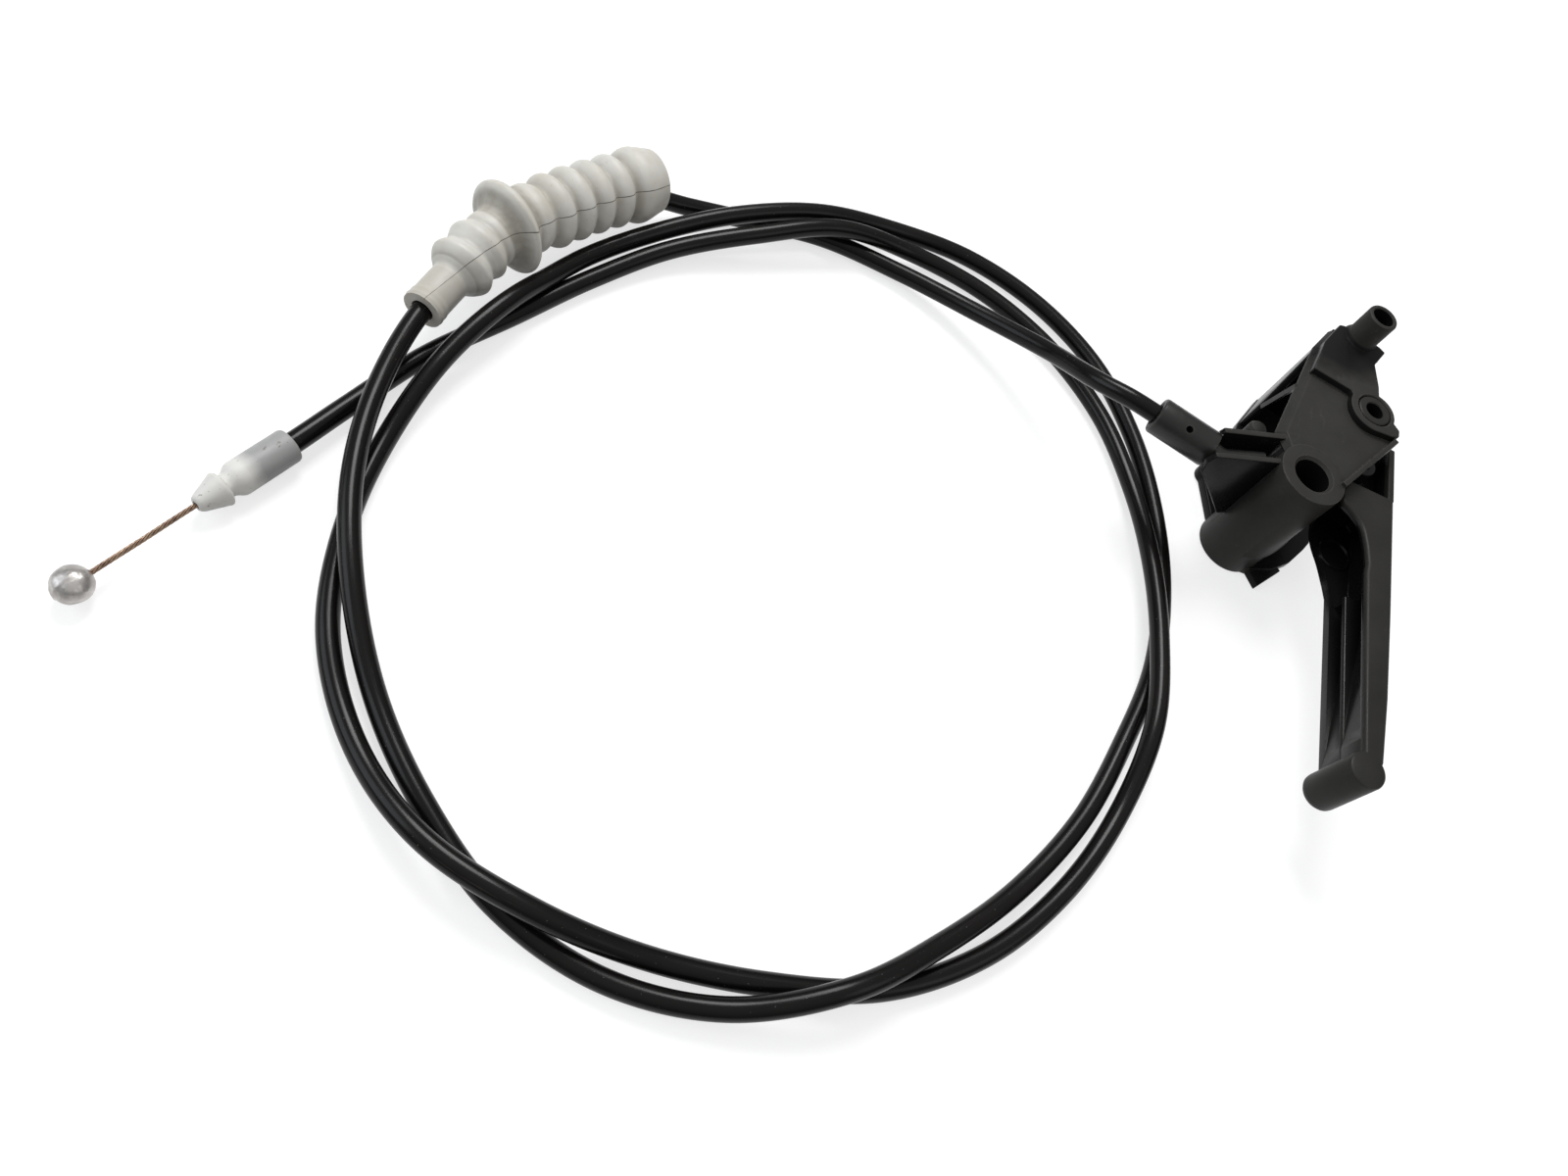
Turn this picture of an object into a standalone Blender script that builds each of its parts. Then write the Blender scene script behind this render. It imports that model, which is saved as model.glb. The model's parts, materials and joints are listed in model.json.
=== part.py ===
"""Hood release handle of a car: a moulded bracket with a pull lever, and its sheathed cable.

Metres, +Z up.  The bracket lies on its back, the front plate up, and the cable lies in loops
beside it.  Plan positions are measured from the lever's pivot.  ORIGIN is the pivot in the part's
own frame, worked out so that the frame's origin is under the middle of bracket and lever.
"""
import math

import bmesh
import bpy
from mathutils import Matrix, Vector

MM = 0.001

# Clearances
FIT = 0.0003            # faces that seat on each other
RUN = 0.0003            # a turning journal in its hole
WIRE_FIT = 0.0003       # a strand in its guide
SEAM = 0.0001           # how far one moulded shape stops short of the next one's face

# Bracket, plates
DEPTH = 0.0368          # back of the bracket to its front field
PLATE_T = 0.0025
BACK_T = 0.0030
CHAMFER = 0.0022        # slope along the front plate's left edge
PAD_RISE = 0.0020       # raised pad round the pivot and the spigot
RIM_RISE = 0.0014       # raised rim along the lower right edge
RIM_W = 0.0016
PAD_ARC_R = 0.0073
EAR_R = 0.0064

# Bracket, big boss and its flared foot
BOSS_X = -0.0158
BOSS_Y = -0.0307
BOSS_R = 0.0093
BOSS_FOOT_R = 0.0090
BOSS_BORE_R = 0.0050
BOSS_PROUD = 0.0002
FLARE_R = 0.0088
FLARE_TOP = 0.0320
FLARE_LOW = 0.0075

# Bracket, locating spigot
SPIGOT_X = -0.0054
SPIGOT_Y = 0.0254
SPIGOT_R = 0.0044
SPIGOT_BORE_R = 0.0031
SPIGOT_RISE = 0.0092
SPIGOT_BORE_DEPTH = 0.0110

# Bracket, walls, post and webs
WALL_T = 0.0020
POST_H = 0.0170         # low end of the left wall's sloping edge
STRUT_T = 0.0017
POST_X = -0.0255
POST_Y = -0.0105
POST_TOP = 0.0260
GUIDE_POST_R = 0.0027
WEB_T = 0.0016
CHANNEL_W = 0.0063      # between the webs
WEB_ANGLE = 24.7        # direction of the wire channel in plan, degrees
WEB_NOSE = 0.0012
WEB_NOSE_H = 0.0069
WEB_FOOT_Z = 0.0110
WEB_LEN = 0.0180
WEB_OUT_UP = 0.0231     # left ends of the webs, along the channel from the boss's middle
WEB_OUT_LOW = 0.0284
WEB_IN_UP = 0.0026      # and their right ends, the lower one inside the boss's wall
WEB_IN_LOW = 0.0056

# Plan outlines from the pivot, seen from the front
PLATE_LEFT = [(-0.0266, -0.0201), (-0.0176, 0.0177)]
PLATE_CORNER = (-0.0130, 0.0272)
PLATE_TOP = [(-0.0092, 0.0279), (0.0008, 0.0256), (0.0029, 0.0244), (-0.0003, 0.0177),
             (0.0012, 0.0097)]
PLATE_RIGHT = [(0.0080, -0.0033), (0.0084, -0.0068), (-0.0058, -0.0292), (-0.0180, -0.0340)]
PAD_LEFT = [(-0.0092, 0.0278), (-0.0121, 0.0270), (-0.0164, 0.0176), (-0.0192, 0.0051),
            (-0.0075, 0.0035)]
PAD_FOOT = (0.0057, -0.0066)
PAD_EDGE = [(0.0079, -0.0056), (0.0080, -0.0033)]
PAD_SIDE = [(0.0012, 0.0097), (-0.0003, 0.0177)]
PAD_TOP = [(0.0027, 0.0243), (0.0008, 0.0255)]
BACK_LOW = [(-0.0180, -0.0392), (-0.0097, -0.0383), (-0.0030, -0.0349), (0.0023, -0.0297),
            (0.0064, -0.0229), (0.0081, -0.0195), (0.0084, -0.0080)]
BACK_TOP = [(0.0016, 0.0240), (0.0008, 0.0254), (-0.0130, 0.0270), (-0.0186, 0.0133),
            (-0.0205, 0.0040)]
BACK_END = (-0.0236, -0.0260)
TAB = [(-0.0097, -0.0380), (-0.0065, -0.0420), (0.0003, -0.0332), (-0.0030, -0.0300)]
TOP_WALL = [(-0.0128, 0.0268), (0.0025, 0.0242)]
LOW_WALL = [(-0.0129, 0.0267), (-0.0184, 0.0130)]
STRUT_FOOT = (-0.0180, 0.0115)
STRUT_HEAD = (-0.0218, -0.0006)
FLARE_FOOT = [(-0.0158, -0.0399), (-0.0120, -0.0393), (-0.0088, -0.0367), (-0.0057, -0.0332),
              (-0.0030, -0.0294), (-0.0007, -0.0255), (0.0021, -0.0199), (-0.0040, -0.0190),
              (-0.0110, -0.0220), (-0.0240, -0.0310)]

# Lever
HUB_R = 0.0048
HUB_BORE_R = 0.0026
SLEEVE_R = 0.0065
LEVER_FRONT_GAP = 0.0013    # under the front plate
LEVER_W = 0.0165            # width of the blade along the pivot
LEVER_BACK_X = 0.0115       # broad back face of the blade
LEVER_TIP_X = 0.0104
LEVER_NECK_X = 0.0036       # open side of the blade at its neck
LEVER_END_X = 0.0052        # open side of the blade by its lip
NECK_Y = -0.0428
LEVER_WALL = 0.0020
FLANGE_T = 0.0026
RIB_T = 0.0010
RIB_RISE = 0.0085           # top of the middle rib over the blade's lower edge
LIP_X = 0.0062
LIP_Y = -0.1062
LIP_R = 0.0047
RECESS_END_Y = LIP_Y + 0.0082   # the blade's hollow ends above its lip
HEAD_FLOOR = 0.0060         # step down of the lever's head under the front plate
STEP_Y = -0.0220
PAD_SPOT_X = 0.0016
PAD_SPOT_Y = -0.0396
DIMPLE_R = 0.0052
HEAD_NECK = [(0.0017, -0.0436), (-0.0011, -0.0383), (-0.0020, -0.0340), (-0.0020, -0.0280),
             (-0.0016, -0.0220), (-0.0040, -0.0140), (-0.0056, -0.0030)]
FLANGE_NECK = [(0.0037, -0.0460), (0.0026, -0.0395), (-0.0011, -0.0355), (-0.0044, -0.0310),
               (-0.0044, -0.0270)]
FLANGE_STEP_X = -0.0028
HEAD_LOW_Y = -0.0500        # where head and blade meet
WALL_TURN_Y = -0.0560
WALL_TOP_Y = -0.0060
BACK_TOP_Y = -0.0070
BACK_MID_Y = -0.0600
BACK_LOW_Y = -0.0850
STEP_X = -0.0018
RECESS_X = -0.0010
RECESS_TOP_Y = -0.0520

# Cable, shared
CORD_R = 0.0025
CORD_STEP = 0.0225          # about how far apart the points of its tube lie
LEAD_SAG = 0.0003           # of the conduit at its first point outside the cap
WIRE_R = 0.0006
CORE_DROP = 0.0056          # the wire under the bracket's front field

# Conduit's end cap in the bracket
CAP_X = -0.0585             # its open end
CAP_Y = -0.0292
CAP_R = 0.0049
CAP_LEN = 0.0168
CAP_ANGLE = -11.8           # its direction in plan, degrees
CAP_SEAT = 0.0120           # depth of the conduit in the cap
CAP_HOLE_R = 0.0009
CAP_HOLE_AT = 0.0085
NOSE_R = 0.0017
NOSE_STRAIGHT = 0.0112
NOSE_BEND_R = 0.0090

# Wire end held by the lever
ARM_R = 0.01425             # from the pivot to the nipple
NIPPLE_R = 0.0022
NIPPLE_H = 0.0038
SEAT_BOSS_R = 0.0042
SLOT_ROOT = 0.0012          # half the slot's width at the nipple
SLOT_HALF_ANGLE = 30.0      # either side of the wire's mean direction from the lever
WIRE_TAIL = 0.0006          # wire's far end past the elbow's bend
PULL_HALF_ANGLE = 20.0      # half of the lever's travel, degrees

# Boot on the conduit
BOOT_WALL = 0.0009
BOOT_FIT = 0.0008           # the collar round the conduit
BOOT_COLLAR_R = 0.0055
BOOT_NECK_R = 0.0058
BOOT_GROOVE_R = 0.0079
COLLAR_LEN = 0.0110
FLANGE_AT = 0.0320
# centre, half width and outer radius of each ring along the boot
BOOT_RINGS = ([(0.0010, 0.0014, 0.0058), (0.0188, 0.0050, 0.0086), (0.0266, 0.0036, 0.0092),
               (0.0320, 0.0032, 0.0123)]
              + [(0.0458 + 0.0074 * i, 0.0037, 0.0094) for i in range(5)]
              + [(0.0790, 0.0046, 0.0092)])

# Push-in end of the conduit, and the ball
END_LEN = 0.0239
END_R = 0.0040
END_NECK_R = 0.0027
END_TIP_R = 0.0018
END_SEAT = 0.0097
WIRE_TAIL_IN = 0.0020       # of the strand inside the fitting at rest
BALL_AT = 0.0518            # from the fitting's rear to the ball's middle
BALL_R = 0.0046
BALL_H = 0.0076

# The boot's and the conduit's middle lines, millimetres from the pivot, heights from the floor.
# The conduit's own line starts where it has left the cap; its first two points are the cap's.
BOOT_AXIS = [
    (-234.2, -80.9, 11.4), (-232.7, -71.0, 12.0), (-227.9, -49.7, 14.2), (-221.6, -37.9, 13.6),
    (-215.3, -26.9, 12.9), (-208.3, -16.0, 11.9), (-203.6, -8.9, 11.0),
]
ROUTE = [
    (-65.6, -27.6, 30.9), (-72.5, -24.4, 28.5),
    (-86.4, -9.6, 17.4), (-106.5, 2.1, 8.3), (-130.1, 8.8, 3.5), (-155.1, 8.7, 2.9),
    (-179.0, 1.4, 2.9), (-192.7, -5.0, 4.7), (-202.1, -11.2, 7.7), (-207.9, -18.8, 9.7),
    (-215.7, -31.3, 10.3), (-221.5, -42.3, 11.3), (-227.1, -54.6, 12.1), (-232.7, -71.0, 12.0),
    (-234.2, -80.9, 11.4), (-233.7, -102.9, 9.3), (-227.6, -127.1, 9.3), (-216.3, -149.4, 7.7),
    (-201.4, -169.0, 3.1), (-182.8, -185.8, 2.9), (-161.4, -198.8, 2.8), (-137.1, -204.3, 2.8),
    (-112.4, -201.2, 5.0), (-90.7, -189.9, 9.4), (-73.0, -172.6, 5.9), (-57.6, -153.1, 2.9),
    (-45.9, -131.0, 2.8), (-38.7, -106.9, 2.9), (-33.9, -82.3, 2.9), (-34.9, -57.3, 2.8),
    (-40.9, -33.0, 2.8), (-51.3, -10.2, 2.8), (-66.9, 9.4, 2.9), (-88.2, 22.5, 2.9),
    (-112.6, 27.8, 2.9), (-137.0, 23.1, 4.4), (-158.6, 11.2, 8.7), (-178.7, -3.7, 8.7),
    (-197.7, -20.0, 6.0), (-212.0, -40.2, 5.3), (-215.3, -53.7, 6.9), (-219.9, -63.9, 9.5),
    (-225.2, -87.7, 7.3), (-227.4, -112.3, 3.2), (-224.4, -137.2, 2.8), (-215.8, -160.7, 2.9),
    (-200.0, -180.1, 3.3), (-179.5, -193.5, 8.0), (-155.1, -198.5, 8.8), (-130.6, -197.5, 3.6),
    (-105.9, -193.3, 2.8), (-82.2, -185.4, 2.8), (-62.2, -170.4, 2.8), (-47.4, -150.2, 2.8),
    (-37.7, -127.2, 3.6), (-34.3, -102.9, 8.6), (-36.6, -78.0, 9.0), (-41.4, -53.5, 7.0),
    (-48.9, -29.8, 3.7), (-62.0, -8.5, 2.8), (-81.2, 7.5, 2.8), (-104.3, 17.0, 2.8),
    (-129.2, 17.6, 4.2), (-151.4, 8.1, 9.5), (-171.7, -6.7, 8.0), (-191.0, -22.3, 4.5),
    (-205.8, -42.3, 2.8), (-217.9, -64.2, 2.8), (-230.2, -86.0, 2.8), (-238.8, -109.6, 3.7),
    (-243.6, -124.2, 4.5), (-247.1, -133.2, 4.5),
]
LEAD_LAST = 4           # route points as far as this one lead out of the cap
BOOT_FIRST = 9          # and these run through the boot
BOOT_LAST = 15

ORIGIN = Vector((0.5 * (CAP_R * math.sin(math.radians(-CAP_ANGLE)) - CAP_X - LEVER_BACK_X),
                 0.5 * (LIP_R - LIP_Y - SPIGOT_R - SPIGOT_Y), 0.0))
CORE_Z = DEPTH - CORE_DROP
PLATE_BACK_Z = DEPTH - PLATE_T
PAD_Z = DEPTH + PAD_RISE
LEVER_TOP_Z = PLATE_BACK_Z - LEVER_FRONT_GAP
LEVER_LOW_Z = LEVER_TOP_Z - LEVER_W
HEAD_TOP_Z = LEVER_TOP_Z - HEAD_FLOOR
RIB_TOP = LEVER_LOW_Z + RIB_RISE
HUB_HOLE_R = HUB_R + RUN
NIPPLE_Z = CORE_Z - NIPPLE_H / 2

for old in list(bpy.data.objects):
    bpy.data.objects.remove(old, do_unlink=True)


def material(name, color, roughness, metallic=0.0):
    mat = bpy.data.materials.new(name)
    mat.use_nodes = True
    shader = mat.node_tree.nodes["Principled BSDF"]
    shader.inputs["Base Color"].default_value = (*color, 1.0)
    shader.inputs["Roughness"].default_value = roughness
    shader.inputs["Metallic"].default_value = metallic
    return mat


BLACK = material("black_plastic", (0.035, 0.036, 0.037), 0.5)
SHEATH = material("black_sheath", (0.015, 0.015, 0.016), 0.3)
NYLON = material("white_nylon", (0.62, 0.61, 0.57), 0.4)
RUBBER = material("grey_rubber", (0.42, 0.42, 0.40), 0.6)
STEEL = material("bright_strand", (0.45, 0.44, 0.42), 0.35, 1.0)
CAST = material("cast_end", (0.40, 0.39, 0.37), 0.45, 1.0)


def finish(name, bm, mat, smooth=True):
    bmesh.ops.recalc_face_normals(bm, faces=bm.faces)
    mesh = bpy.data.meshes.new(name)
    bm.to_mesh(mesh)
    bm.free()
    obj = bpy.data.objects.new(name, mesh)
    bpy.context.scene.collection.objects.link(obj)
    mesh.materials.append(mat)
    if smooth:
        mesh.shade_smooth()
        mesh.set_sharp_from_angle(angle=math.radians(35))
    return obj


def placed(x, y, z):
    """A point given from the pivot, in the part's frame."""
    return ORIGIN + Vector((x, y, z))


def prism(name, outline, z0, z1, mat=None):
    """Outline points (x, y) from the pivot, run up from z0 to z1."""
    bm = bmesh.new()
    low = bm.faces.new([bm.verts.new(placed(x, y, z0)) for x, y in outline])
    up = bmesh.ops.extrude_face_region(bm, geom=[low])
    tops = [v for v in up["geom"] if isinstance(v, bmesh.types.BMVert)]
    bmesh.ops.translate(bm, verts=tops, vec=(0, 0, z1 - z0))
    return finish(name, bm, mat or BLACK)


def loft(name, sections, mat=None):
    """Closed skin through rings of equally many points, capped at both ends."""
    bm = bmesh.new()
    rings = [[bm.verts.new(p) for p in ring] for ring in sections]
    for a, b in zip(rings, rings[1:]):
        for i in range(len(a)):
            j = (i + 1) % len(a)
            bm.faces.new((a[i], a[j], b[j], b[i]))
    bm.faces.new(list(reversed(rings[0])))
    bm.faces.new(rings[-1])
    return finish(name, bm, mat or BLACK)


def circle(cx, cy, radius, z, sides):
    step = 2 * math.pi / sides
    return [placed(cx + radius * math.cos(i * step), cy + radius * math.sin(i * step), z)
            for i in range(sides)]


def drum(name, x, y, stations, sides=32, mat=None):
    """Round piece along Z from (radius, z) stations, at a plan point from the pivot."""
    return loft(name, [circle(x, y, r, z, sides) for r, z in stations], mat)


def rings_along(points, radii, sides):
    """Rings square to a path, carried along it without twist."""
    rings = []
    side = None
    for i, p in enumerate(points):
        ahead = points[min(i + 1, len(points) - 1)]
        behind = points[max(i - 1, 0)]
        way = (ahead - behind).normalized()
        if side is None:
            side = way.cross(Vector((0, 0, 1)))
            if side.length < 0.01:
                side = way.cross(Vector((1, 0, 0)))
        side = (side - way * side.dot(way)).normalized()
        up = side.cross(way)
        r = radii[i]
        ring = []
        for k in range(sides):
            a = 2 * math.pi * k / sides
            ring.append(p + side * (r * math.cos(a)) + up * (r * math.sin(a)))
        rings.append(ring)
    return rings


def sweep(name, points, radius, sides=12, mat=None):
    return loft(name, rings_along(points, [radius] * len(points), sides), mat)


def boolean(obj, other, operation):
    mod = obj.modifiers.new(other.name, "BOOLEAN")
    mod.operation = operation
    mod.object = other
    other.hide_render = True
    other.display_type = "WIRE"


def cut(obj, cutter):
    boolean(obj, cutter, "DIFFERENCE")


def add(obj, piece):
    boolean(obj, piece, "UNION")


def arc(cx, cy, radius, start, end, count):
    """Points (x, y) round an arc, angles in degrees."""
    out = []
    for i in range(count + 1):
        a = math.radians(start + (end - start) * i / count)
        out.append((cx + radius * math.cos(a), cy + radius * math.sin(a)))
    return out


def rounded(corners, radius, count=4):
    """Outline with every corner eased by a short arc."""
    out = []
    n = len(corners)
    for i in range(n):
        p = Vector(corners[i])
        a = (Vector(corners[i - 1]) - p)
        b = (Vector(corners[(i + 1) % n]) - p)
        r = min(radius, 0.45 * a.length, 0.45 * b.length)
        start, end = p + a.normalized() * r, p + b.normalized() * r
        for k in range(count + 1):
            t = k / count
            q = start * (1 - t) ** 2 + p * (2 * t * (1 - t)) + end * t ** 2
            out.append((q.x, q.y))
    return out


def blend(a, b, t):
    """Plan points part of the way from outline a to outline b."""
    return [(p[0] + (q[0] - p[0]) * t, p[1] + (q[1] - p[1]) * t) for p, q in zip(a, b)]


def smooth(points, steps):
    """Points on a smooth curve through the given ones."""
    pts = [Vector(p) for p in points]
    pts = [pts[0] * 2 - pts[1]] + pts + [pts[-1] * 2 - pts[-2]]
    out = []
    for p0, p1, p2, p3 in zip(pts, pts[1:], pts[2:], pts[3:]):
        d1, d2, d3 = (p1 - p0).length, (p2 - p1).length, (p3 - p2).length
        m1 = (p2 - p1) * (d1 / (d1 + d2)) + (p1 - p0) * (d2 * d2 / (d1 * (d1 + d2)))
        m2 = (p3 - p2) * (d2 * d2 / (d3 * (d2 + d3))) + (p2 - p1) * (d3 / (d2 + d3))
        for k in range(steps):
            t = k / steps
            out.append(p1 * (2 * t ** 3 - 3 * t * t + 1) + m1 * (t ** 3 - 2 * t * t + t)
                       + p2 * (3 * t * t - 2 * t ** 3) + m2 * (t ** 3 - t * t))
    return out + [pts[-2]]


def at_lengths(points, lengths):
    """Points of a fine line at the given lengths from its start."""
    out = []
    run, i = 0.0, 0
    for want in lengths:
        while i < len(points) - 2 and run + (points[i + 1] - points[i]).length < want:
            run += (points[i + 1] - points[i]).length
            i += 1
        step = points[i + 1] - points[i]
        out.append(points[i] + step * min(max((want - run) / step.length, 0.0), 1.0))
    return out


def length_of(points):
    return sum((b - a).length for a, b in zip(points, points[1:]))


def spread(start, end, count):
    return [start + (end - start) * i / (count - 1) for i in range(count)]


def turned(name, start, way, stations, sides, mat):
    """Round piece along any direction from (distance, radius) stations."""
    line = [start + way * s for s, r in stations]
    return loft(name, rings_along(line, [r for s, r in stations], sides), mat)


def in_channel(along, across):
    """Plan point from the foot of the pivot's perpendicular on the wire's line."""
    c, s = math.cos(math.radians(WEB_ANGLE)), math.sin(math.radians(WEB_ANGLE))
    foot = ARM_R * math.cos(math.radians(PULL_HALF_ANGLE))
    return (along * c - (across - foot) * s, along * s + (across - foot) * c)


def level(plan, z):
    return placed(plan[0], plan[1], z)


# Directions and places that the pieces share
CAP_WAY = Vector((math.cos(math.radians(CAP_ANGLE)), math.sin(math.radians(CAP_ANGLE)), 0))
CAP_MOUTH = placed(CAP_X, CAP_Y, CORE_Z)
CAP_END = CAP_MOUTH + CAP_WAY * CAP_LEN
WIRE_WAY = level(in_channel(1, 0), 0) - level(in_channel(0, 0), 0)
REST_ALONG = -ARM_R * math.sin(math.radians(PULL_HALF_ANGLE))
STROKE = -2 * REST_ALONG


def plate_outline(chamfer=0.0):
    """The front plate seen from the front, its left edge drawn in by the chamfer."""
    left = [(x + chamfer, y) for x, y in PLATE_LEFT]
    corner = (PLATE_CORNER[0] + chamfer / 2, PLATE_CORNER[1])
    return left + [corner] + PLATE_TOP + arc(0, 0, EAR_R, 78, -14, 8) + PLATE_RIGHT


def pad_outline():
    """The raised pad round the pivot and the spigot, a hair inside the plate's edge."""
    right = [PAD_FOOT] + [(x - SEAM, y) for x, y in PAD_EDGE]
    side = [(x - SEAM, y) for x, y in PAD_SIDE] + PAD_TOP
    return (PAD_LEFT + arc(0, 0, PAD_ARC_R, 160, 280, 10) + right
            + arc(0, 0, EAR_R - SEAM, -14, 78, 8) + side)


def build_plates(body):
    pad = prism("pad", pad_outline(), DEPTH - 0.001, PAD_Z)
    add(body, pad)
    low, high = Vector(PLATE_RIGHT[2]), Vector(PLATE_RIGHT[1])
    side = Vector((low.y - high.y, high.x - low.x)).normalized() * RIM_W
    inner = side.normalized() * SEAM
    rim = prism("rim", [tuple(low + inner), tuple(high + inner), tuple(high + side),
                        tuple(low + side)], DEPTH - 0.0012, DEPTH + RIM_RISE)
    add(body, rim)
    back = prism("back_plate",
                 BACK_LOW + arc(0, 0, EAR_R + 0.0008, -30, 70, 8) + BACK_TOP
                 + arc(POST_X, POST_Y, GUIDE_POST_R + 0.0008, 75, 235, 8) + [BACK_END],
                 0.0, BACK_T)
    add(body, back)
    add(body, prism("rear_tab", TAB, 0.0, BACK_T - 0.0010))


def build_walls(body):
    """Top wall, the low left wall with its sloping edge, the strut and the rounded post."""
    wall = [Vector(p) for p in TOP_WALL]
    way = (wall[1] - wall[0]).normalized()
    inward = Vector((way.y, -way.x)) * WALL_T
    add(body, prism("top_wall", [tuple(wall[0]), tuple(wall[1]), tuple(wall[1] + inward),
                                 tuple(wall[0] + inward)], SEAM, DEPTH - SEAM))
    corner, foot = [Vector((x, y, 0)) for x, y in LOW_WALL]
    run = foot - corner
    inside = Vector((-run.y, run.x, 0)).normalized() * WALL_T
    side = [(0, SEAM), (0, DEPTH - 0.0012), (0.14, DEPTH - 0.0012), (1, POST_H), (1, SEAM)]
    face = [ORIGIN + corner + run * t + Vector((0, 0, z)) for t, z in side]
    add(body, loft("low_wall", [face, [p + inside for p in face]]))
    add(body, loft("strut", rings_along([level(STRUT_FOOT, POST_H - 0.0030),
                                         level(STRUT_HEAD, DEPTH - PLATE_T * 0.6)],
                                        [STRUT_T * 0.7] * 2, 4)))
    add(body, drum("post", POST_X, POST_Y, [(GUIDE_POST_R, SEAM), (GUIDE_POST_R, POST_TOP - 0.0012),
                                            (GUIDE_POST_R * 0.8, POST_TOP - 0.0004),
                                            (GUIDE_POST_R * 0.4, POST_TOP)], 20))
    add(body, prism("post_web", [(POST_X, POST_Y + STRUT_T / 2), (POST_X, POST_Y - STRUT_T / 2),
                                 (BOSS_X, POST_Y - 0.0105), (BOSS_X, POST_Y - 0.0082)],
                    BACK_T - 0.0005, WEB_FOOT_Z + 0.0030))


def build_webs(body):
    """The two webs that hold the cap's elbow between them and carry its end."""
    c, s = math.cos(math.radians(WEB_ANGLE)), math.sin(math.radians(WEB_ANGLE))
    boss = BOSS_X * c + BOSS_Y * s
    for sign, out, stop in ((1, WEB_OUT_UP, WEB_IN_UP), (-1, WEB_OUT_LOW, WEB_IN_LOW)):
        start = boss - out
        inner = CHANNEL_W / 2
        end = out - stop
        profile = [(0, DEPTH), (-WEB_NOSE, DEPTH - 0.0030), (0, DEPTH - WEB_NOSE_H),
                   (WEB_LEN, WEB_FOOT_Z), (end, WEB_FOOT_Z + 0.001), (end, DEPTH - 0.0006)]
        faces = [[level(in_channel(start + t, sign * side), z) for t, z in profile]
                 for side in (inner, inner + WEB_T)]
        add(body, loft("web", faces))
    room = [(-0.004, CAP_R * 2.2), (CAP_LEN + FIT, CAP_R * 2.2)]
    cut(body, turned("cap_seat", CAP_MOUTH, CAP_WAY, room, 24, BLACK))


def build_boss(body):
    """The big round boss, its flared foot, its bore and the groove that clears the wire."""
    add(body, drum("boss", BOSS_X, BOSS_Y, [(BOSS_FOOT_R, 0.0), (BOSS_R, DEPTH - 0.004),
                                            (BOSS_R, DEPTH + BOSS_PROUD)], 48))
    ring = [math.radians(a) for a in (-95, -71, -45, -17, 5, 19, 31, 70, 110, 180)]
    top = [(BOSS_X + 0.0008 + FLARE_R * math.cos(a), BOSS_Y + 0.0003 + FLARE_R * math.sin(a))
           for a in ring]
    stages = ((0.0, FLARE_TOP), (0.1, 0.026), (0.25, 0.020), (0.55, 0.012), (1.0, FLARE_LOW))
    loops = []
    for share, z in stages:
        plan = [Vector((x, y, 0)) for x, y in blend(top, FLARE_FOOT, share)]
        closed = smooth(plan + plan[:1], 3)[:-1]
        loops.append([placed(p.x, p.y, z) for p in closed])
    add(body, loft("flare", loops))
    bore = [(BOSS_BORE_R, -0.001), (BOSS_BORE_R, DEPTH - 0.0004), (BOSS_BORE_R + 0.0012, DEPTH + 0.0008)]
    cut(body, drum("boss_bore", BOSS_X, BOSS_Y, bore, 40))
    line = [level(in_channel(s, 0), CORE_Z) for s in (-0.0365, -0.0180)]
    cut(body, sweep("wire_groove", line, WIRE_R * 2 + WIRE_FIT * 2, 12))


def build_spigot(body):
    top = PAD_Z + SPIGOT_RISE
    add(body, drum("spigot", SPIGOT_X, SPIGOT_Y,
                   [(SPIGOT_R, PLATE_BACK_Z), (SPIGOT_R, PAD_Z - 0.0006),
                    (SPIGOT_R + 0.0008, PAD_Z - 0.0005),
                    (SPIGOT_R + 0.0003, PAD_Z + 0.0004), (SPIGOT_R, PAD_Z + 0.0010),
                    (SPIGOT_R, top - 0.0003), (SPIGOT_R - 0.0003, top)], 40))
    cut(body, drum("spigot_bore", SPIGOT_X, SPIGOT_Y,
                   [(SPIGOT_BORE_R, top - SPIGOT_BORE_DEPTH), (SPIGOT_BORE_R, top + 0.001)], 32))


def build_bracket():
    low = [level(p, PLATE_BACK_Z) for p in plate_outline()]
    mid = [level(p, PLATE_BACK_Z + 0.0006) for p in plate_outline()]
    high = [level(p, DEPTH) for p in plate_outline(CHAMFER)]
    body = loft("bracket", [low, mid, high])
    build_plates(body)
    build_walls(body)
    build_boss(body)
    build_webs(body)
    build_spigot(body)
    cut(body, drum("hub_hole", 0, 0, [(HUB_HOLE_R, -0.001), (HUB_HOLE_R, PAD_Z + 0.001)], 40))
    return body


def blade_front(y):
    """X of the blade's open side at a height down the blade."""
    share = (NECK_Y - y) / (NECK_Y - LIP_Y)
    return LEVER_NECK_X + (LEVER_END_X - LEVER_NECK_X) * share


def blade_back():
    return [(LEVER_BACK_X, BACK_MID_Y), (LEVER_BACK_X - 0.0003, BACK_LOW_Y),
            (LEVER_TIP_X, LIP_Y + 0.0030)]


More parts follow.
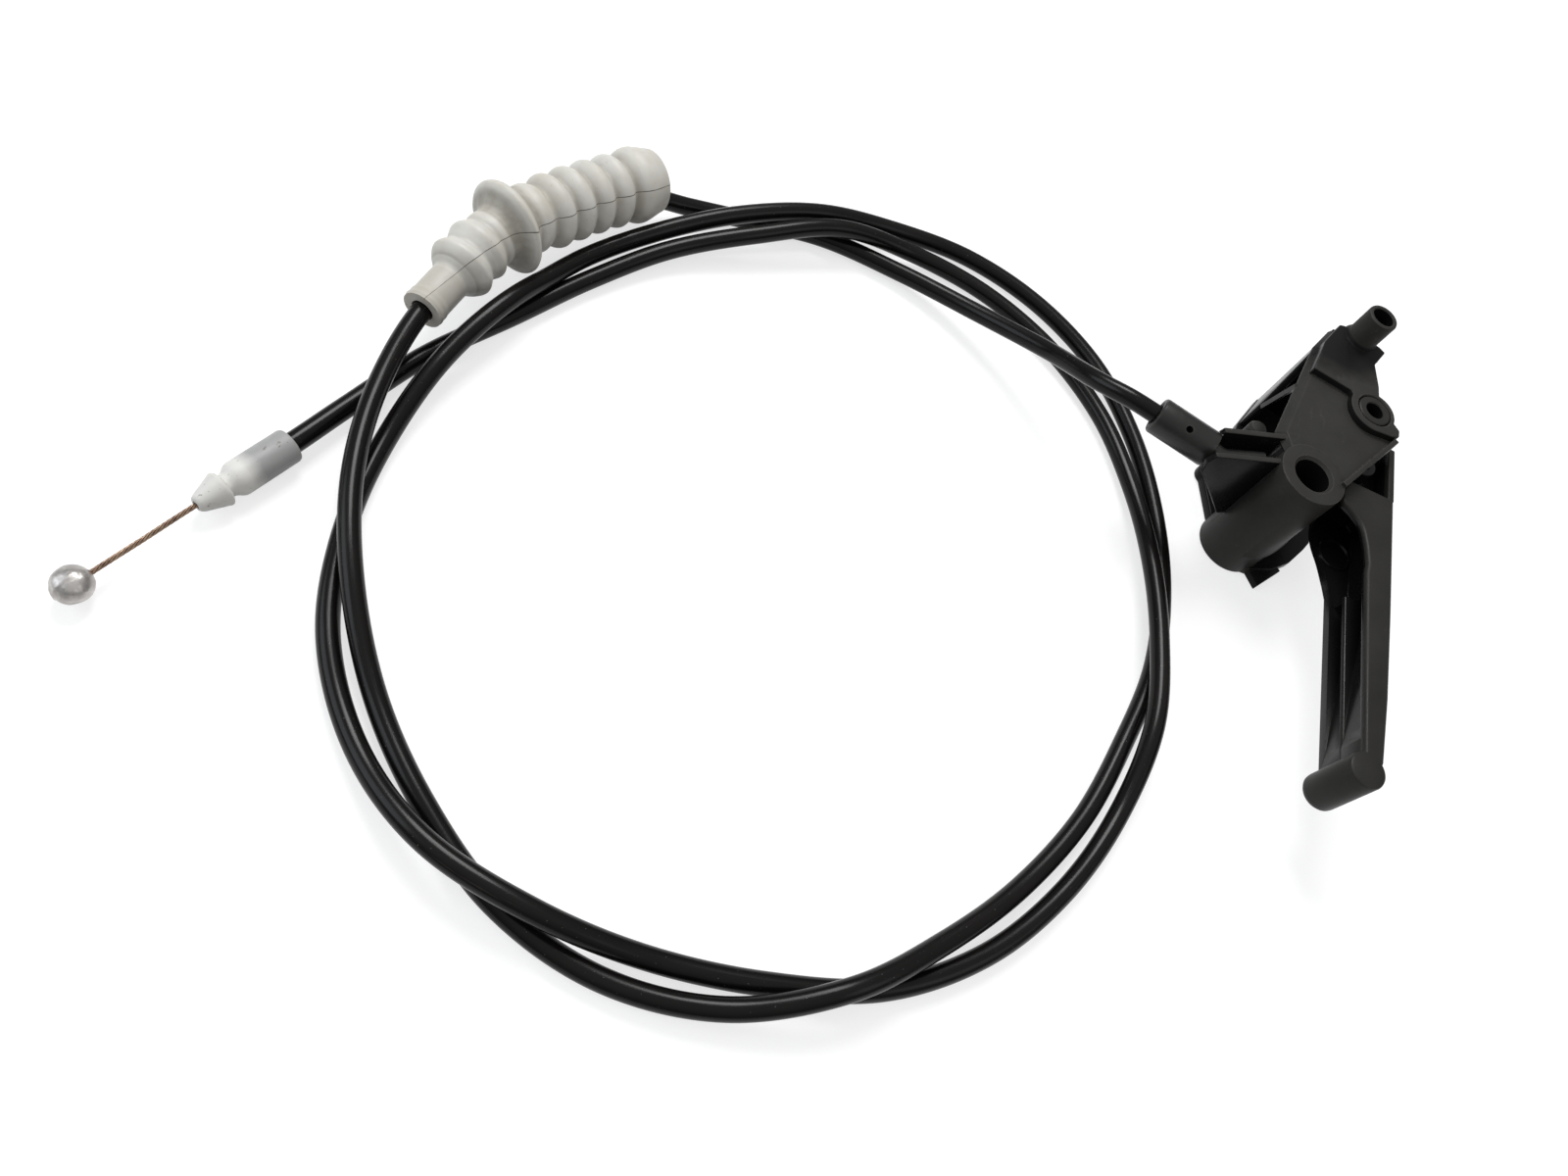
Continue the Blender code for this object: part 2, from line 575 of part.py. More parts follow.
def build_lever():
    """Channel-section pull lever on its hub, with the wire's seat and the rolled lip."""
    end = [(LIP_X + 0.0020, LIP_Y), (blade_front(LIP_Y), LIP_Y + 0.0010)]
    open_side = [(blade_front(HEAD_LOW_Y), HEAD_LOW_Y)]
    head = open_side + HEAD_NECK
    to_hub = arc(0, 0, SLEEVE_R - SEAM, 150, 20, 8) + [(LEVER_BACK_X, BACK_TOP_Y)]
    body = prism("lever", blade_back() + end + head + to_hub, LEVER_LOW_Z, RIB_TOP)
    wall = LEVER_BACK_X - LEVER_WALL
    neck = [(blade_front(RECESS_END_Y), RECESS_END_Y), (wall, WALL_TURN_Y), (wall, WALL_TOP_Y),
            (LEVER_BACK_X, WALL_TOP_Y)]
    add(body, prism("back_wall", blade_back() + end + neck, RIB_TOP - 0.0006, LEVER_TOP_Z - 0.0003))
    flange = open_side + FLANGE_NECK + [(FLANGE_STEP_X, STEP_Y), (LEVER_BACK_X, STEP_Y)]
    add(body, prism("front_flange", blade_back() + end + flange, LEVER_TOP_Z - FLANGE_T, LEVER_TOP_Z))
    step = [(STEP_X, STEP_Y), (STEP_X - 0.0008, STEP_Y - LEVER_WALL),
            (wall + 0.0005, STEP_Y - LEVER_WALL), (wall + 0.0005, STEP_Y)]
    add(body, prism("step_wall", step, RIB_TOP - 0.0004, LEVER_TOP_Z - 0.0008))
    floor = ([(STEP_X - 0.0002, STEP_Y - 0.0016)]
             + [(x, y + k * SEAM) for k, (x, y) in ((1, HEAD_NECK[4]), (0, HEAD_NECK[5]))]
             + [(HEAD_NECK[6][0] + SEAM, HEAD_NECK[6][1] - SEAM)]
             + arc(0, 0, SLEEVE_R - SEAM * 2, 150, 20, 8)
             + [(wall + 0.0006, BACK_TOP_Y - 0.0002), (wall + 0.0006, STEP_Y - 0.0016)])
    add(body, prism("head_floor", floor, RIB_TOP - 0.0005, HEAD_TOP_Z))
    outside = LEVER_BACK_X - SEAM
    tall = [(wall, STEP_Y - 0.0010), (outside, STEP_Y - 0.0010), (outside, WALL_TOP_Y - 0.0002),
            (wall, WALL_TOP_Y - 0.0002)]
    add(body, prism("wall_top", tall, HEAD_TOP_Z - 0.0008, LEVER_TOP_Z - 0.0001))
    hub = [(HUB_R, 0.0005), (HUB_R, BACK_T + RUN), (SLEEVE_R, BACK_T + RUN + SEAM),
           (SLEEVE_R, PLATE_BACK_Z - RUN - SEAM), (HUB_R, PLATE_BACK_Z - RUN),
           (HUB_R, PAD_Z - 0.0004), (HUB_R - 0.0004, PAD_Z)]
    add(body, drum("sleeve", 0, 0, hub, 40))
    seat = in_channel(REST_ALONG, 0)
    ring = [(SEAT_BOSS_R, HEAD_TOP_Z - 0.0007), (SEAT_BOSS_R, LEVER_TOP_Z)]
    add(body, drum("wire_seat", *seat, ring, 32))
    roll = [(LIP_R * 0.55, LEVER_LOW_Z - 0.0020), (LIP_R * 0.85, LEVER_LOW_Z - 0.0013),
            (LIP_R, LEVER_LOW_Z), (LIP_R, LEVER_TOP_Z - 0.0005),
            (LIP_R - 0.0005, LEVER_TOP_Z + 0.0001)]
    add(body, drum("lip", LIP_X, LIP_Y, roll, 32))
    spot = [(DIMPLE_R * 0.62, RIB_TOP - 0.0003), (DIMPLE_R * 0.60, RIB_TOP + 0.0010)]
    add(body, drum("finger_pad", PAD_SPOT_X, PAD_SPOT_Y, spot, 24))
    shut = LEVER_LOW_Z + FLANGE_T
    recess = [(RECESS_X, RECESS_TOP_Y), (wall, RECESS_TOP_Y - 0.0020), (wall, RECESS_TOP_Y - 0.0080),
              (blade_front(RECESS_END_Y), RECESS_END_Y), (RECESS_X, RECESS_END_Y)]
    cut(body, prism("low_recess", recess, shut, RIB_TOP - RIB_T))
    pit = [(NIPPLE_R + FIT, NIPPLE_Z - FIT), (NIPPLE_R + FIT, LEVER_TOP_Z + 0.001)]
    cut(body, drum("nipple_recess", *seat, pit, 24))
    way = math.radians(WEB_ANGLE + 180 - PULL_HALF_ANGLE)
    fan = math.radians(SLOT_HALF_ANGLE)
    reach = SEAT_BOSS_R + 0.0010
    ends = arc(*seat, reach, math.degrees(way - fan), math.degrees(way + fan), 1)
    root = arc(*seat, SLOT_ROOT, math.degrees(way) + 90, math.degrees(way) - 90, 1)
    cut(body, prism("wire_slot", ends + root, CORE_Z - WIRE_R - FIT * 3, LEVER_TOP_Z + 0.001))
    cut(body, drum("hub_bore", 0, 0, [(HUB_BORE_R, -0.001), (HUB_BORE_R, PAD_Z + 0.001)], 32))
    return body


def elbow_line():
    """The elbow's middle line: out of the cap, round to the channel and straight along it."""
    c = Vector(in_channel(0, 0)).to_3d() + Vector((0, 0, CORE_Z)) + ORIGIN
    cross = CAP_WAY.x * WIRE_WAY.y - CAP_WAY.y * WIRE_WAY.x
    gap = c - CAP_END
    meet = CAP_END + CAP_WAY * ((gap.x * WIRE_WAY.y - gap.y * WIRE_WAY.x) / cross)
    half = math.acos(CAP_WAY.dot(WIRE_WAY)) / 2
    tangent = NOSE_BEND_R * math.tan(half)
    start, end = meet - CAP_WAY * tangent, meet + WIRE_WAY * tangent
    middle = start + Vector((-CAP_WAY.y, CAP_WAY.x, 0)) * NOSE_BEND_R
    points = []
    for i in range(9):
        turn = Matrix.Rotation(2 * half * i / 8, 3, "Z")
        points.append(middle + turn @ (start - middle))
    return start, points, end


def build_cap():
    """Turned end cap of the conduit with the elbow that leads the wire to the channel."""
    start, bend, end = elbow_line()
    body = turned("conduit_cap", CAP_MOUTH, CAP_WAY,
                  [(0.0, CAP_R - 0.0005), (0.0005, CAP_R), (CAP_LEN - 0.0008, CAP_R),
                   (CAP_LEN, CAP_R - 0.0008)], 40, BLACK)
    inside = min((start - CAP_MOUTH).length - 0.0004, CAP_LEN - 0.0010)
    tip = end + WIRE_WAY * NOSE_STRAIGHT
    add(body, sweep("elbow", [CAP_MOUTH + CAP_WAY * inside] + bend + [tip], NOSE_R, 16))
    bore = [(-0.001, CORD_R + FIT), (CAP_SEAT, CORD_R + FIT)]
    cut(body, turned("conduit_bore", CAP_MOUTH, CAP_WAY, bore, 24, BLACK))
    line = [CAP_MOUTH + CAP_WAY * (CAP_SEAT - 0.001)] + bend + [tip + WIRE_WAY * 0.001]
    cut(body, sweep("wire_bore", line, WIRE_R + WIRE_FIT, 12))
    hole = CAP_MOUTH + CAP_WAY * CAP_HOLE_AT
    cut(body, drum("check_hole", hole.x - ORIGIN.x, hole.y - ORIGIN.y,
                   [(CAP_HOLE_R, CORE_Z + CORD_R * 0.6), (CAP_HOLE_R, CORE_Z + CAP_R + 0.001)], 16))
    return body


def build_pull_wire():
    """The bare strand from the elbow to the lever, and the barrel at its end."""
    start, bend, end = elbow_line()
    near = level(in_channel(REST_ALONG - NIPPLE_R - FIT, 0), CORE_Z)
    tail = end + WIRE_WAY * WIRE_TAIL
    wire = sweep("pull_wire", [tail, (tail + near) / 2, near], WIRE_R, 10, STEEL)
    ease = 0.0003
    barrel = [(NIPPLE_R - ease, NIPPLE_Z), (NIPPLE_R, NIPPLE_Z + ease),
              (NIPPLE_R, NIPPLE_Z + NIPPLE_H - ease), (NIPPLE_R - ease, NIPPLE_Z + NIPPLE_H)]
    nipple = drum("wire_nipple", *in_channel(REST_ALONG, 0), barrel, 24, CAST)
    return wire, nipple


def cord_points():
    """The conduit's line: evenly spaced, but through its own route points in cap and boot."""
    steps = 16
    route = [placed(*(MM * v for v in p)) for p in ROUTE]
    route[0].z = CORE_Z - LEAD_SAG
    route = [CAP_MOUTH + CAP_WAY * (CAP_SEAT - FIT), CAP_MOUTH] + route
    fine = smooth(route, steps)
    kept = [length_of(fine[:steps * i + 1]) for i in range(len(route))]
    total = kept[-1]
    boot = kept[BOOT_FIRST:BOOT_LAST + 1]
    lead = spread(kept[LEAD_LAST], boot[0], 2 + round((boot[0] - kept[LEAD_LAST]) / CORD_STEP))
    loops = spread(boot[-1], kept[-2], 2 + round((kept[-2] - boot[-1]) / CORD_STEP))
    return at_lengths(fine, kept[:LEAD_LAST] + lead[:-1] + boot[:-1] + loops + [total])


def build_conduit():
    points = cord_points()
    curve = bpy.data.curves.new("conduit", "CURVE")
    curve.dimensions = "3D"
    spline = curve.splines.new("POLY")
    spline.points.add(len(points) - 1)
    for slot, p in zip(spline.points, points):
        slot.co = (*p, 1.0)
    curve.bevel_depth = CORD_R
    curve.bevel_resolution = 2
    curve.use_fill_caps = True
    curve.materials.append(SHEATH)
    obj = bpy.data.objects.new("conduit", curve)
    bpy.context.scene.collection.objects.link(obj)
    return obj


def boot_radius(s):
    """Outer radius of the boot at a length from its collar end."""
    base = BOOT_COLLAR_R
    if s > COLLAR_LEN:
        share = min((s - COLLAR_LEN) / (FLANGE_AT - COLLAR_LEN), 1.0)
        base = BOOT_NECK_R + (BOOT_GROOVE_R - BOOT_NECK_R) * share
    for centre, width, top in BOOT_RINGS:
        away = abs(s - centre) / width
        if away < 1:
            base = max(base, base + (top - base) * math.cos(away * math.pi / 2) ** 0.8)
    return base


def build_boot():
    """Bent bellows boot: one skin, out along the outside and back along the inside."""
    fine = smooth([placed(*(MM * v for v in p)) for p in BOOT_AXIS], 20)
    total = length_of(fine)
    lengths = spread(0.0, total, 58)
    outer = rings_along(at_lengths(fine, lengths), [boot_radius(s) for s in lengths], 20)
    inner_lengths = spread(0.0, total, 40)
    wall = [max(boot_radius(s) - BOOT_WALL, CORD_R + BOOT_FIT) for s in inner_lengths]
    for i, s in enumerate(inner_lengths):
        if s < COLLAR_LEN:
            wall[i] = CORD_R + BOOT_FIT
    inner = rings_along(at_lengths(fine, inner_lengths), wall, 20)
    bm = bmesh.new()
    rings = [[bm.verts.new(p) for p in ring] for ring in outer + inner[::-1]]
    for a, b in zip(rings, rings[1:] + rings[:1]):
        for i in range(len(a)):
            j = (i + 1) % len(a)
            bm.faces.new((a[i], a[j], b[j], b[i]))
    return finish("boot", bm, RUBBER)


def build_end_fitting():
    """Moulded push-in end of the conduit, its strand and the ball cast on the strand."""
    route_end = placed(*(MM * v for v in ROUTE[-1]))
    way = (route_end - placed(*(MM * v for v in ROUTE[-2]))).normalized()
    rear = route_end - way * END_SEAT
    body = turned("end_fitting", rear, way,
                  [(0.0, END_R - 0.0004), (0.0006, END_R), (0.0140, END_R), (0.0149, END_R - 0.0003),
                   (0.0161, END_NECK_R), (0.0169, END_NECK_R), (0.0175, END_R), (0.0183, END_R),
                   (END_LEN - 0.0003, END_TIP_R), (END_LEN, END_TIP_R - 0.0003)], 32, NYLON)
    seat = [(-0.001, CORD_R + FIT), (END_SEAT + FIT, CORD_R + FIT)]
    cut(body, turned("end_seat", rear, way, seat, 24, NYLON))
    bore = [(END_SEAT - 0.001, WIRE_R + WIRE_FIT), (END_LEN + 0.001, WIRE_R + WIRE_FIT)]
    cut(body, turned("end_bore", rear, way, bore, 12, NYLON))
    centre = rear + way * BALL_AT
    turns = [math.radians(d) for d in (-84, -68, -52, -36, -20, -6, 6, 20, 36, 52, 68, 84)]
    ball = turned("far_ball", centre, way,
                  [(BALL_R * math.sin(a), BALL_R * math.cos(a)) for a in turns], 28, CAST)
    squash = BALL_H / 2 / BALL_R
    for v in ball.data.vertices:
        v.co.z = centre.z + (v.co.z - centre.z) * squash
    socket = BALL_R * 0.7
    pit = [(socket, WIRE_R + WIRE_FIT), (BALL_R + 0.001, WIRE_R + WIRE_FIT)]
    cut(ball, turned("ball_socket", centre, -way, pit, 12, CAST))
    tail = rear + way * (END_LEN - WIRE_TAIL_IN)
    tip = centre - way * (socket + FIT)
    wire = sweep("far_wire", [tail, (tail + tip) / 2, tip], WIRE_R, 10, STEEL)
    return body, wire, ball


build_bracket()
build_lever()
build_cap()
build_pull_wire()
build_conduit()
build_boot()
build_end_fitting()
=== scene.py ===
"""Looks of the hood release handle: moulded bracket and lever, sheathed cable, boot, end and ball."""
import json
from math import acos, atan2, cos, exp, hypot, pi, radians, remainder, sin, tan

import bmesh
import bpy
from mathutils import Matrix, Vector, noise

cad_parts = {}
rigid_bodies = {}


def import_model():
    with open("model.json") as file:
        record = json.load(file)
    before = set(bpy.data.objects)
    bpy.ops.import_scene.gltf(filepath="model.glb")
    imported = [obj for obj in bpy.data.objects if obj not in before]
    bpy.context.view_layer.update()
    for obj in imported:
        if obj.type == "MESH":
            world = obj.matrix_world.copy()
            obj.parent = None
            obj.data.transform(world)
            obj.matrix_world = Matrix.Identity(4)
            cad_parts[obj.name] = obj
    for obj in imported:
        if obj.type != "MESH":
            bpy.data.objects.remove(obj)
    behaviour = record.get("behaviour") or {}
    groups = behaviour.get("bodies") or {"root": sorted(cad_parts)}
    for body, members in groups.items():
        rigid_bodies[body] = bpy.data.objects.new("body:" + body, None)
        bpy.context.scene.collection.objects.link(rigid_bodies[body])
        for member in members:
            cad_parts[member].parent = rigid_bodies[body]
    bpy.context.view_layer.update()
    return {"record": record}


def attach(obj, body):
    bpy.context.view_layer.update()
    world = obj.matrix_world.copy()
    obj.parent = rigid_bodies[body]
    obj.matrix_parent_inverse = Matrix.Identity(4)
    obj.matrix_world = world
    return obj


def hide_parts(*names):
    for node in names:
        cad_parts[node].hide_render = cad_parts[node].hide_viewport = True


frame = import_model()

# sizes, metres; plan positions are from the lever's pivot
FIT = 0.0003
SEAM = 0.0001
DEPTH = 0.0368
PLATE_T = 0.0025
BACK_T = 0.0030
CHAMFER = 0.0022
PAD_RISE = 0.0020
RIM_RISE = 0.0014
RIM_W = 0.0016
RIM_REACH = 0.0018        # of the rim into the boss
PAD_ARC_R = 0.0073
EAR_R = 0.0064
BOSS = (-0.0158, -0.0307)
BOSS_R = 0.0093
BOSS_FOOT_R = 0.0090
BOSS_BORE_R = 0.0050
FLARE_R = 0.0088
FLARE_TOP = 0.0320
FLARE_LOW = 0.0075
SPIGOT = (-0.0054, 0.0254)
SPIGOT_R = 0.0044
SPIGOT_BORE_R = 0.0031
SPIGOT_RISE = 0.0092
SPIGOT_BORE_DEPTH = 0.0110
WALL_T = 0.0020
POST_H = 0.0170
STRUT_T = 0.0017
POST = (-0.0255, -0.0105)
POST_TOP = 0.0260
POST_R = 0.0027
WEB_T = 0.0016
CHANNEL_W = 0.0063
WEB_ANGLE = 24.7
WEB_NOSE = 0.0012
WEB_NOSE_H = 0.0069
WEB_FOOT_Z = 0.0110
WEB_LEN = 0.0180
HUB_R = 0.0048
HUB_BORE_R = 0.0026
SLEEVE_R = 0.0065
LEVER_BACK_X = 0.0115
LEVER_TIP_X = 0.0104
LEVER_NECK_X = 0.0036
LEVER_END_X = 0.0052
NECK_Y = -0.0428
LEVER_WALL = 0.0020
LEVER_BACK_TOP_Y = -0.0040
FLANGE_T = 0.0026
RIB_T = 0.0010
LIP = (0.0062, -0.1062)
LIP_R = 0.0047
RECESS_END_Y = LIP[1] + 0.0082
RECESS_TOP_Y = -0.0520
STEP_Y = -0.0220
SPOT = (0.0043, -0.0358)
SPOT_R = 0.0049
CORD_R = 0.0025
WIRE_R = 0.0006
CORE_Z = DEPTH - 0.0056
CAP = (-0.0585, -0.0292)
CAP_R = 0.0049
CAP_LEN = 0.0168
CAP_ANGLE = -11.8
CAP_SEAT = 0.0120
CAP_HOLE_R = 0.0009
CAP_HOLE_AT = 0.0085
CAP_HOLE_TURN = 32.0      # of the check hole round the cap, from straight up
NOSE_R = 0.0017
NECK_R = 0.0030           # of the elbow where it leaves the cap
NOSE_STRAIGHT = 0.0112
NOSE_BEND_R = 0.0090
ARM_R = 0.01425
NIPPLE_R = 0.0022
NIPPLE_H = 0.0038
SEAT_BOSS_R = 0.0042
SLOT_ROOT = 0.0012
SLOT_HALF_ANGLE = 30.0
PULL_HALF_ANGLE = 20.0
BOOT_WALL = 0.0009
BOOT_FIT = 0.0008
COLLAR_R = 0.0049
COLLAR_LEN = 0.0110
BELLOWS_AT = 0.0433
BELLOWS_PITCH = 0.00645
BELLOWS_CREST_R = 0.0095
BELLOWS_GROOVE_R = 0.0071
# outer radius of the boot at lengths from its collar end
BOOT_PROFILE = ([(0.0000, 0.0047), (0.0004, 0.0052), (0.0012, 0.0052), (0.0017, 0.0049),
                 (0.0024, 0.0052), (0.0032, COLLAR_R), (0.0115, COLLAR_R), (0.0122, 0.0055),
                 (0.0138, 0.0071),
                 (0.0155, 0.0082), (0.0163, 0.0083), (0.0173, 0.0079), (0.0190, 0.0069),
                 (0.0205, 0.0074), (0.0220, 0.0081), (0.0229, 0.0082), (0.0241, 0.0076),
                 (0.0254, 0.0067), (0.0268, 0.0072), (0.0282, 0.0071), (0.0296, 0.0070),
                 (0.0307, 0.0079), (0.0316, 0.0104), (0.0325, 0.0119), (0.0333, 0.0121),
                 (0.0341, 0.0116), (0.0351, 0.0102), (0.0364, 0.0089), (0.0374, 0.0083),
                 (0.0388, 0.0086), (0.0402, 0.0087), (0.0416, 0.0082), (BELLOWS_AT, BELLOWS_GROOVE_R)]
                + [(BELLOWS_AT + BELLOWS_PITCH * (i + share), r) for i in range(4)
                   for share, r in ((0.15, 0.0082), (0.3, 0.0091), (0.5, BELLOWS_CREST_R),
                                    (0.7, 0.0091), (0.85, 0.0082), (1.0, BELLOWS_GROOVE_R))]
                + [(0.0702, 0.0083), (0.0712, 0.0092), (0.0724, 0.0098), (0.0738, 0.0099),
                   (0.0756, 0.0095), (0.0776, 0.0089), (0.0800, 0.0083), (0.0900, 0.0081)])
BOOT_SEAMS = (radians(36), radians(216))
SEAM_CLIMB = radians(46)
SEAM_CLIMB_LEN = 0.034
END_LEN = 0.0239
END_R = 0.0040
END_NECK_R = 0.0027
END_TIP_R = 0.0018
END_SEAT = 0.0097
BALL_AT = 0.0518
BALL_R = 0.0042
BALL_H = 0.0069

# how finely round things and long tubes are made
BOSS_SIDES = 72
TURNED_SIDES = 64
BORE_SIDES = 56
SMALL_SIDES = 40
CORD_SIDES = 28
CORD_RINGS = 1100
BOOT_RINGS = 360
BOOT_BORE_RINGS = 120
BOOT_SIDES = 64
TURNS_PER_LAY = 14        # rings of a strand's wire in one turn of its lay


def tenths(*points):
    """Points given in tenths of a millimetre, in metres."""
    return [tuple(v / 10000 for v in point) for point in points]


# middle lines of the boot and of the conduit
BOOT_AXIS = tenths((-2342, -809, 114), (-2327, -710, 120), (-2279, -497, 142), (-2216, -379, 136),
                   (-2153, -269, 129), (-2083, -160, 119), (-2036, -89, 110))
ROUTE = tenths((-656, -276, 309), (-725, -244, 285), (-864, -96, 174), (-1065, 21, 83),
               (-1301, 88, 35), (-1551, 87, 29), (-1790, 14, 29), (-1927, -50, 47), (-2021, -112, 77),
               (-2079, -188, 97), (-2157, -313, 103), (-2215, -423, 113), (-2271, -546, 121),
               (-2327, -710, 120), (-2342, -809, 114), (-2337, -1029, 93), (-2276, -1271, 93),
               (-2163, -1494, 77), (-2014, -1690, 31), (-1828, -1858, 29), (-1614, -1988, 28),
               (-1371, -2043, 28), (-1124, -2012, 50), (-907, -1899, 94), (-730, -1726, 59),
               (-576, -1531, 29), (-459, -1310, 28), (-387, -1069, 29), (-339, -823, 29),
               (-349, -573, 28), (-409, -330, 28), (-513, -102, 28), (-669, 94, 29), (-882, 225, 29),
               (-1126, 278, 29), (-1370, 231, 44), (-1586, 112, 87), (-1787, -37, 87),
               (-1970, -210, 60), (-2096, -390, 53), (-2146, -515, 66), (-2189, -650, 91),
               (-2252, -877, 73), (-2274, -1123, 32), (-2244, -1372, 28), (-2158, -1607, 29),
               (-2000, -1801, 33), (-1795, -1935, 80), (-1551, -1985, 88), (-1306, -1975, 36),
               (-1059, -1933, 28), (-822, -1854, 28), (-622, -1704, 28), (-474, -1502, 28),
               (-377, -1272, 36), (-343, -1029, 86), (-366, -780, 90), (-414, -535, 70),
               (-489, -298, 37), (-620, -85, 28), (-812, 75, 28), (-1043, 170, 28), (-1292, 176, 42),
               (-1514, 81, 95), (-1717, -67, 80), (-1910, -223, 45), (-2058, -423, 28),
               (-2179, -642, 28), (-2302, -860, 28), (-2388, -1096, 37), (-2436, -1242, 45),
               (-2471, -1332, 45))

# the pivot in the part's own frame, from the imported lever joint
PIVOT = Vector(next(j["pos_m"] for j in frame["record"]["behaviour"]["joints"]
                    if j["name"] == "lever_pivot"))
PIVOT.z = 0.0
PLATE_BACK_Z = DEPTH - PLATE_T
PAD_Z = DEPTH + PAD_RISE
LEVER_TOP_Z = PLATE_BACK_Z - 0.0013
LEVER_LOW_Z = LEVER_TOP_Z - 0.0165
HEAD_TOP_Z = LEVER_TOP_Z - 0.0060
RIB_TOP = LEVER_LOW_Z + 0.0085
NIPPLE_Z = CORE_Z - NIPPLE_H / 2
WEB_COS = cos(radians(WEB_ANGLE))
WEB_SIN = sin(radians(WEB_ANGLE))
WIRE_OFF = ARM_R * cos(radians(PULL_HALF_ANGLE))    # the pivot's distance from the wire


# geometry helpers

def placed(x, y, z):
    """A point given from the pivot, in the part's frame."""
    return PIVOT + Vector((x, y, z))


def level(plan, z):
    return placed(plan[0], plan[1], z)


def in_channel(along, across):
    """Plan point from the foot of the pivot's perpendicular on the wire's line."""
    return (along * WEB_COS - (across - WIRE_OFF) * WEB_SIN,
            along * WEB_SIN + (across - WIRE_OFF) * WEB_COS)


def arc(cx, cy, radius, start, end, count):
    """Points (x, y) round an arc, angles in degrees."""
    out = []
    for i in range(count + 1):
        a = radians(start + (end - start) * i / count)
        out.append((cx + radius * cos(a), cy + radius * sin(a)))
    return out


def smooth_line(points, steps):
    """Points on a smooth curve through the given ones."""
    pts = [Vector(p) for p in points]
    pts = [pts[0] * 2 - pts[1]] + pts + [pts[-1] * 2 - pts[-2]]
    out = []
    for p0, p1, p2, p3 in zip(pts, pts[1:], pts[2:], pts[3:]):
        d1, d2, d3 = (p1 - p0).length, (p2 - p1).length, (p3 - p2).length
        m1 = (p2 - p1) * (d1 / (d1 + d2)) + (p1 - p0) * (d2 * d2 / (d1 * (d1 + d2)))
        m2 = (p3 - p2) * (d2 * d2 / (d3 * (d2 + d3))) + (p2 - p1) * (d3 / (d2 + d3))
        for k in range(steps):
            t = k / steps
            out.append(p1 * (2 * t ** 3 - 3 * t * t + 1) + m1 * (t ** 3 - 2 * t * t + t)
                       + p2 * (3 * t * t - 2 * t ** 3) + m2 * (t ** 3 - t * t))
    return out + [pts[-2]]


def length_of(points):
    return sum((b - a).length for a, b in zip(points, points[1:]))


def at_lengths(points, lengths):
    """Points of a fine line at the given lengths from its start."""
    out = []
    run, i = 0.0, 0
    for want in lengths:
        while i < len(points) - 2 and run + (points[i + 1] - points[i]).length < want:
            run += (points[i + 1] - points[i]).length
            i += 1
        step = points[i + 1] - points[i]
        out.append(points[i] + step * min(max((want - run) / step.length, 0.0), 1.0))
    return out


def spread(start, end, count):
    return [start + (end - start) * i / (count - 1) for i in range(count)]


def soften(bm, ease, segments=2, limit=28):
    """Round every edge that turns by more than the limit, in degrees."""
    bmesh.ops.recalc_face_normals(bm, faces=bm.faces)
    edges = [e for e in bm.edges
             if e.is_manifold and e.calc_face_angle(0.0) > radians(limit)]
    if ease and edges:
        bmesh.ops.bevel(bm, geom=edges, offset=ease, offset_type="OFFSET", segments=segments,
                        profile=0.5, affect="EDGES", clamp_overlap=True, material=-1)
    return bm


def drawn(rings, ease=FIT, segments=2):
    """Solid started as one face and extruded from each ring of points to the next."""
    bm = bmesh.new()
    face = bm.faces.new([bm.verts.new(p) for p in rings[0]])
    foot, last = face, rings[0]
    for ring in rings[1:]:
        made = bmesh.ops.extrude_face_region(bm, geom=[face])["geom"]
        if face is not foot and face.is_valid:
            bmesh.ops.delete(bm, geom=[face], context="FACES_ONLY")
        face = next(g for g in made if isinstance(g, bmesh.types.BMFace))
        for vert in face.verts:
            near = min(range(len(last)), key=lambda i: (last[i] - vert.co).length_squared)
            vert.co = ring[near]
        last = ring
    return soften(bm, ease, segments)


def prism(outline, z0, z1, ease=FIT, segments=2):
    """Plan outline run up from z0 to z1, its edges eased."""
    return drawn([[level(p, z0) for p in outline], [level(p, z1) for p in outline]], ease, segments)


def spun(stations, sides, start=Vector(), way=Vector((0, 0, 1)), ease=0.0, hollow=False,
         segments=2):
    """Turned solid from (radius, distance) stations round an axis, closed on the axis or hollow."""
    bm = bmesh.new()
    lay = bm.verts.layers.float_vector.new("lay")
    chain = list(stations)
    if not hollow:
        chain = [(0.0, chain[0][1])] + chain + [(0.0, chain[-1][1])]
    verts = [bm.verts.new((r, 0.0, s)) for r, s in chain]
    pairs = list(zip(verts, verts[1:])) + ([(verts[-1], verts[0])] if hollow else [])
    edges = [bm.edges.new(p) for p in pairs]
    bmesh.ops.spin(bm, geom=verts + edges, cent=(0, 0, 0), axis=(0, 0, 1), angle=2 * pi,
                   steps=sides, use_merge=True)
    bmesh.ops.remove_doubles(bm, verts=bm.verts, dist=1e-6)
    soften(bm, ease, segments)
    for vert in bm.verts:
        vert[lay] = vert.co
    turn = way.to_track_quat("Z", "Y").to_matrix().to_4x4()
    bmesh.ops.transform(bm, matrix=Matrix.Translation(start) @ turn, verts=bm.verts)
    return bm


def post(plan, stations, sides=48, ease=0.0):
    """Turned solid on a plan point, its stations (radius, height)."""
    return spun(stations, sides, level(plan, 0.0), ease=ease)


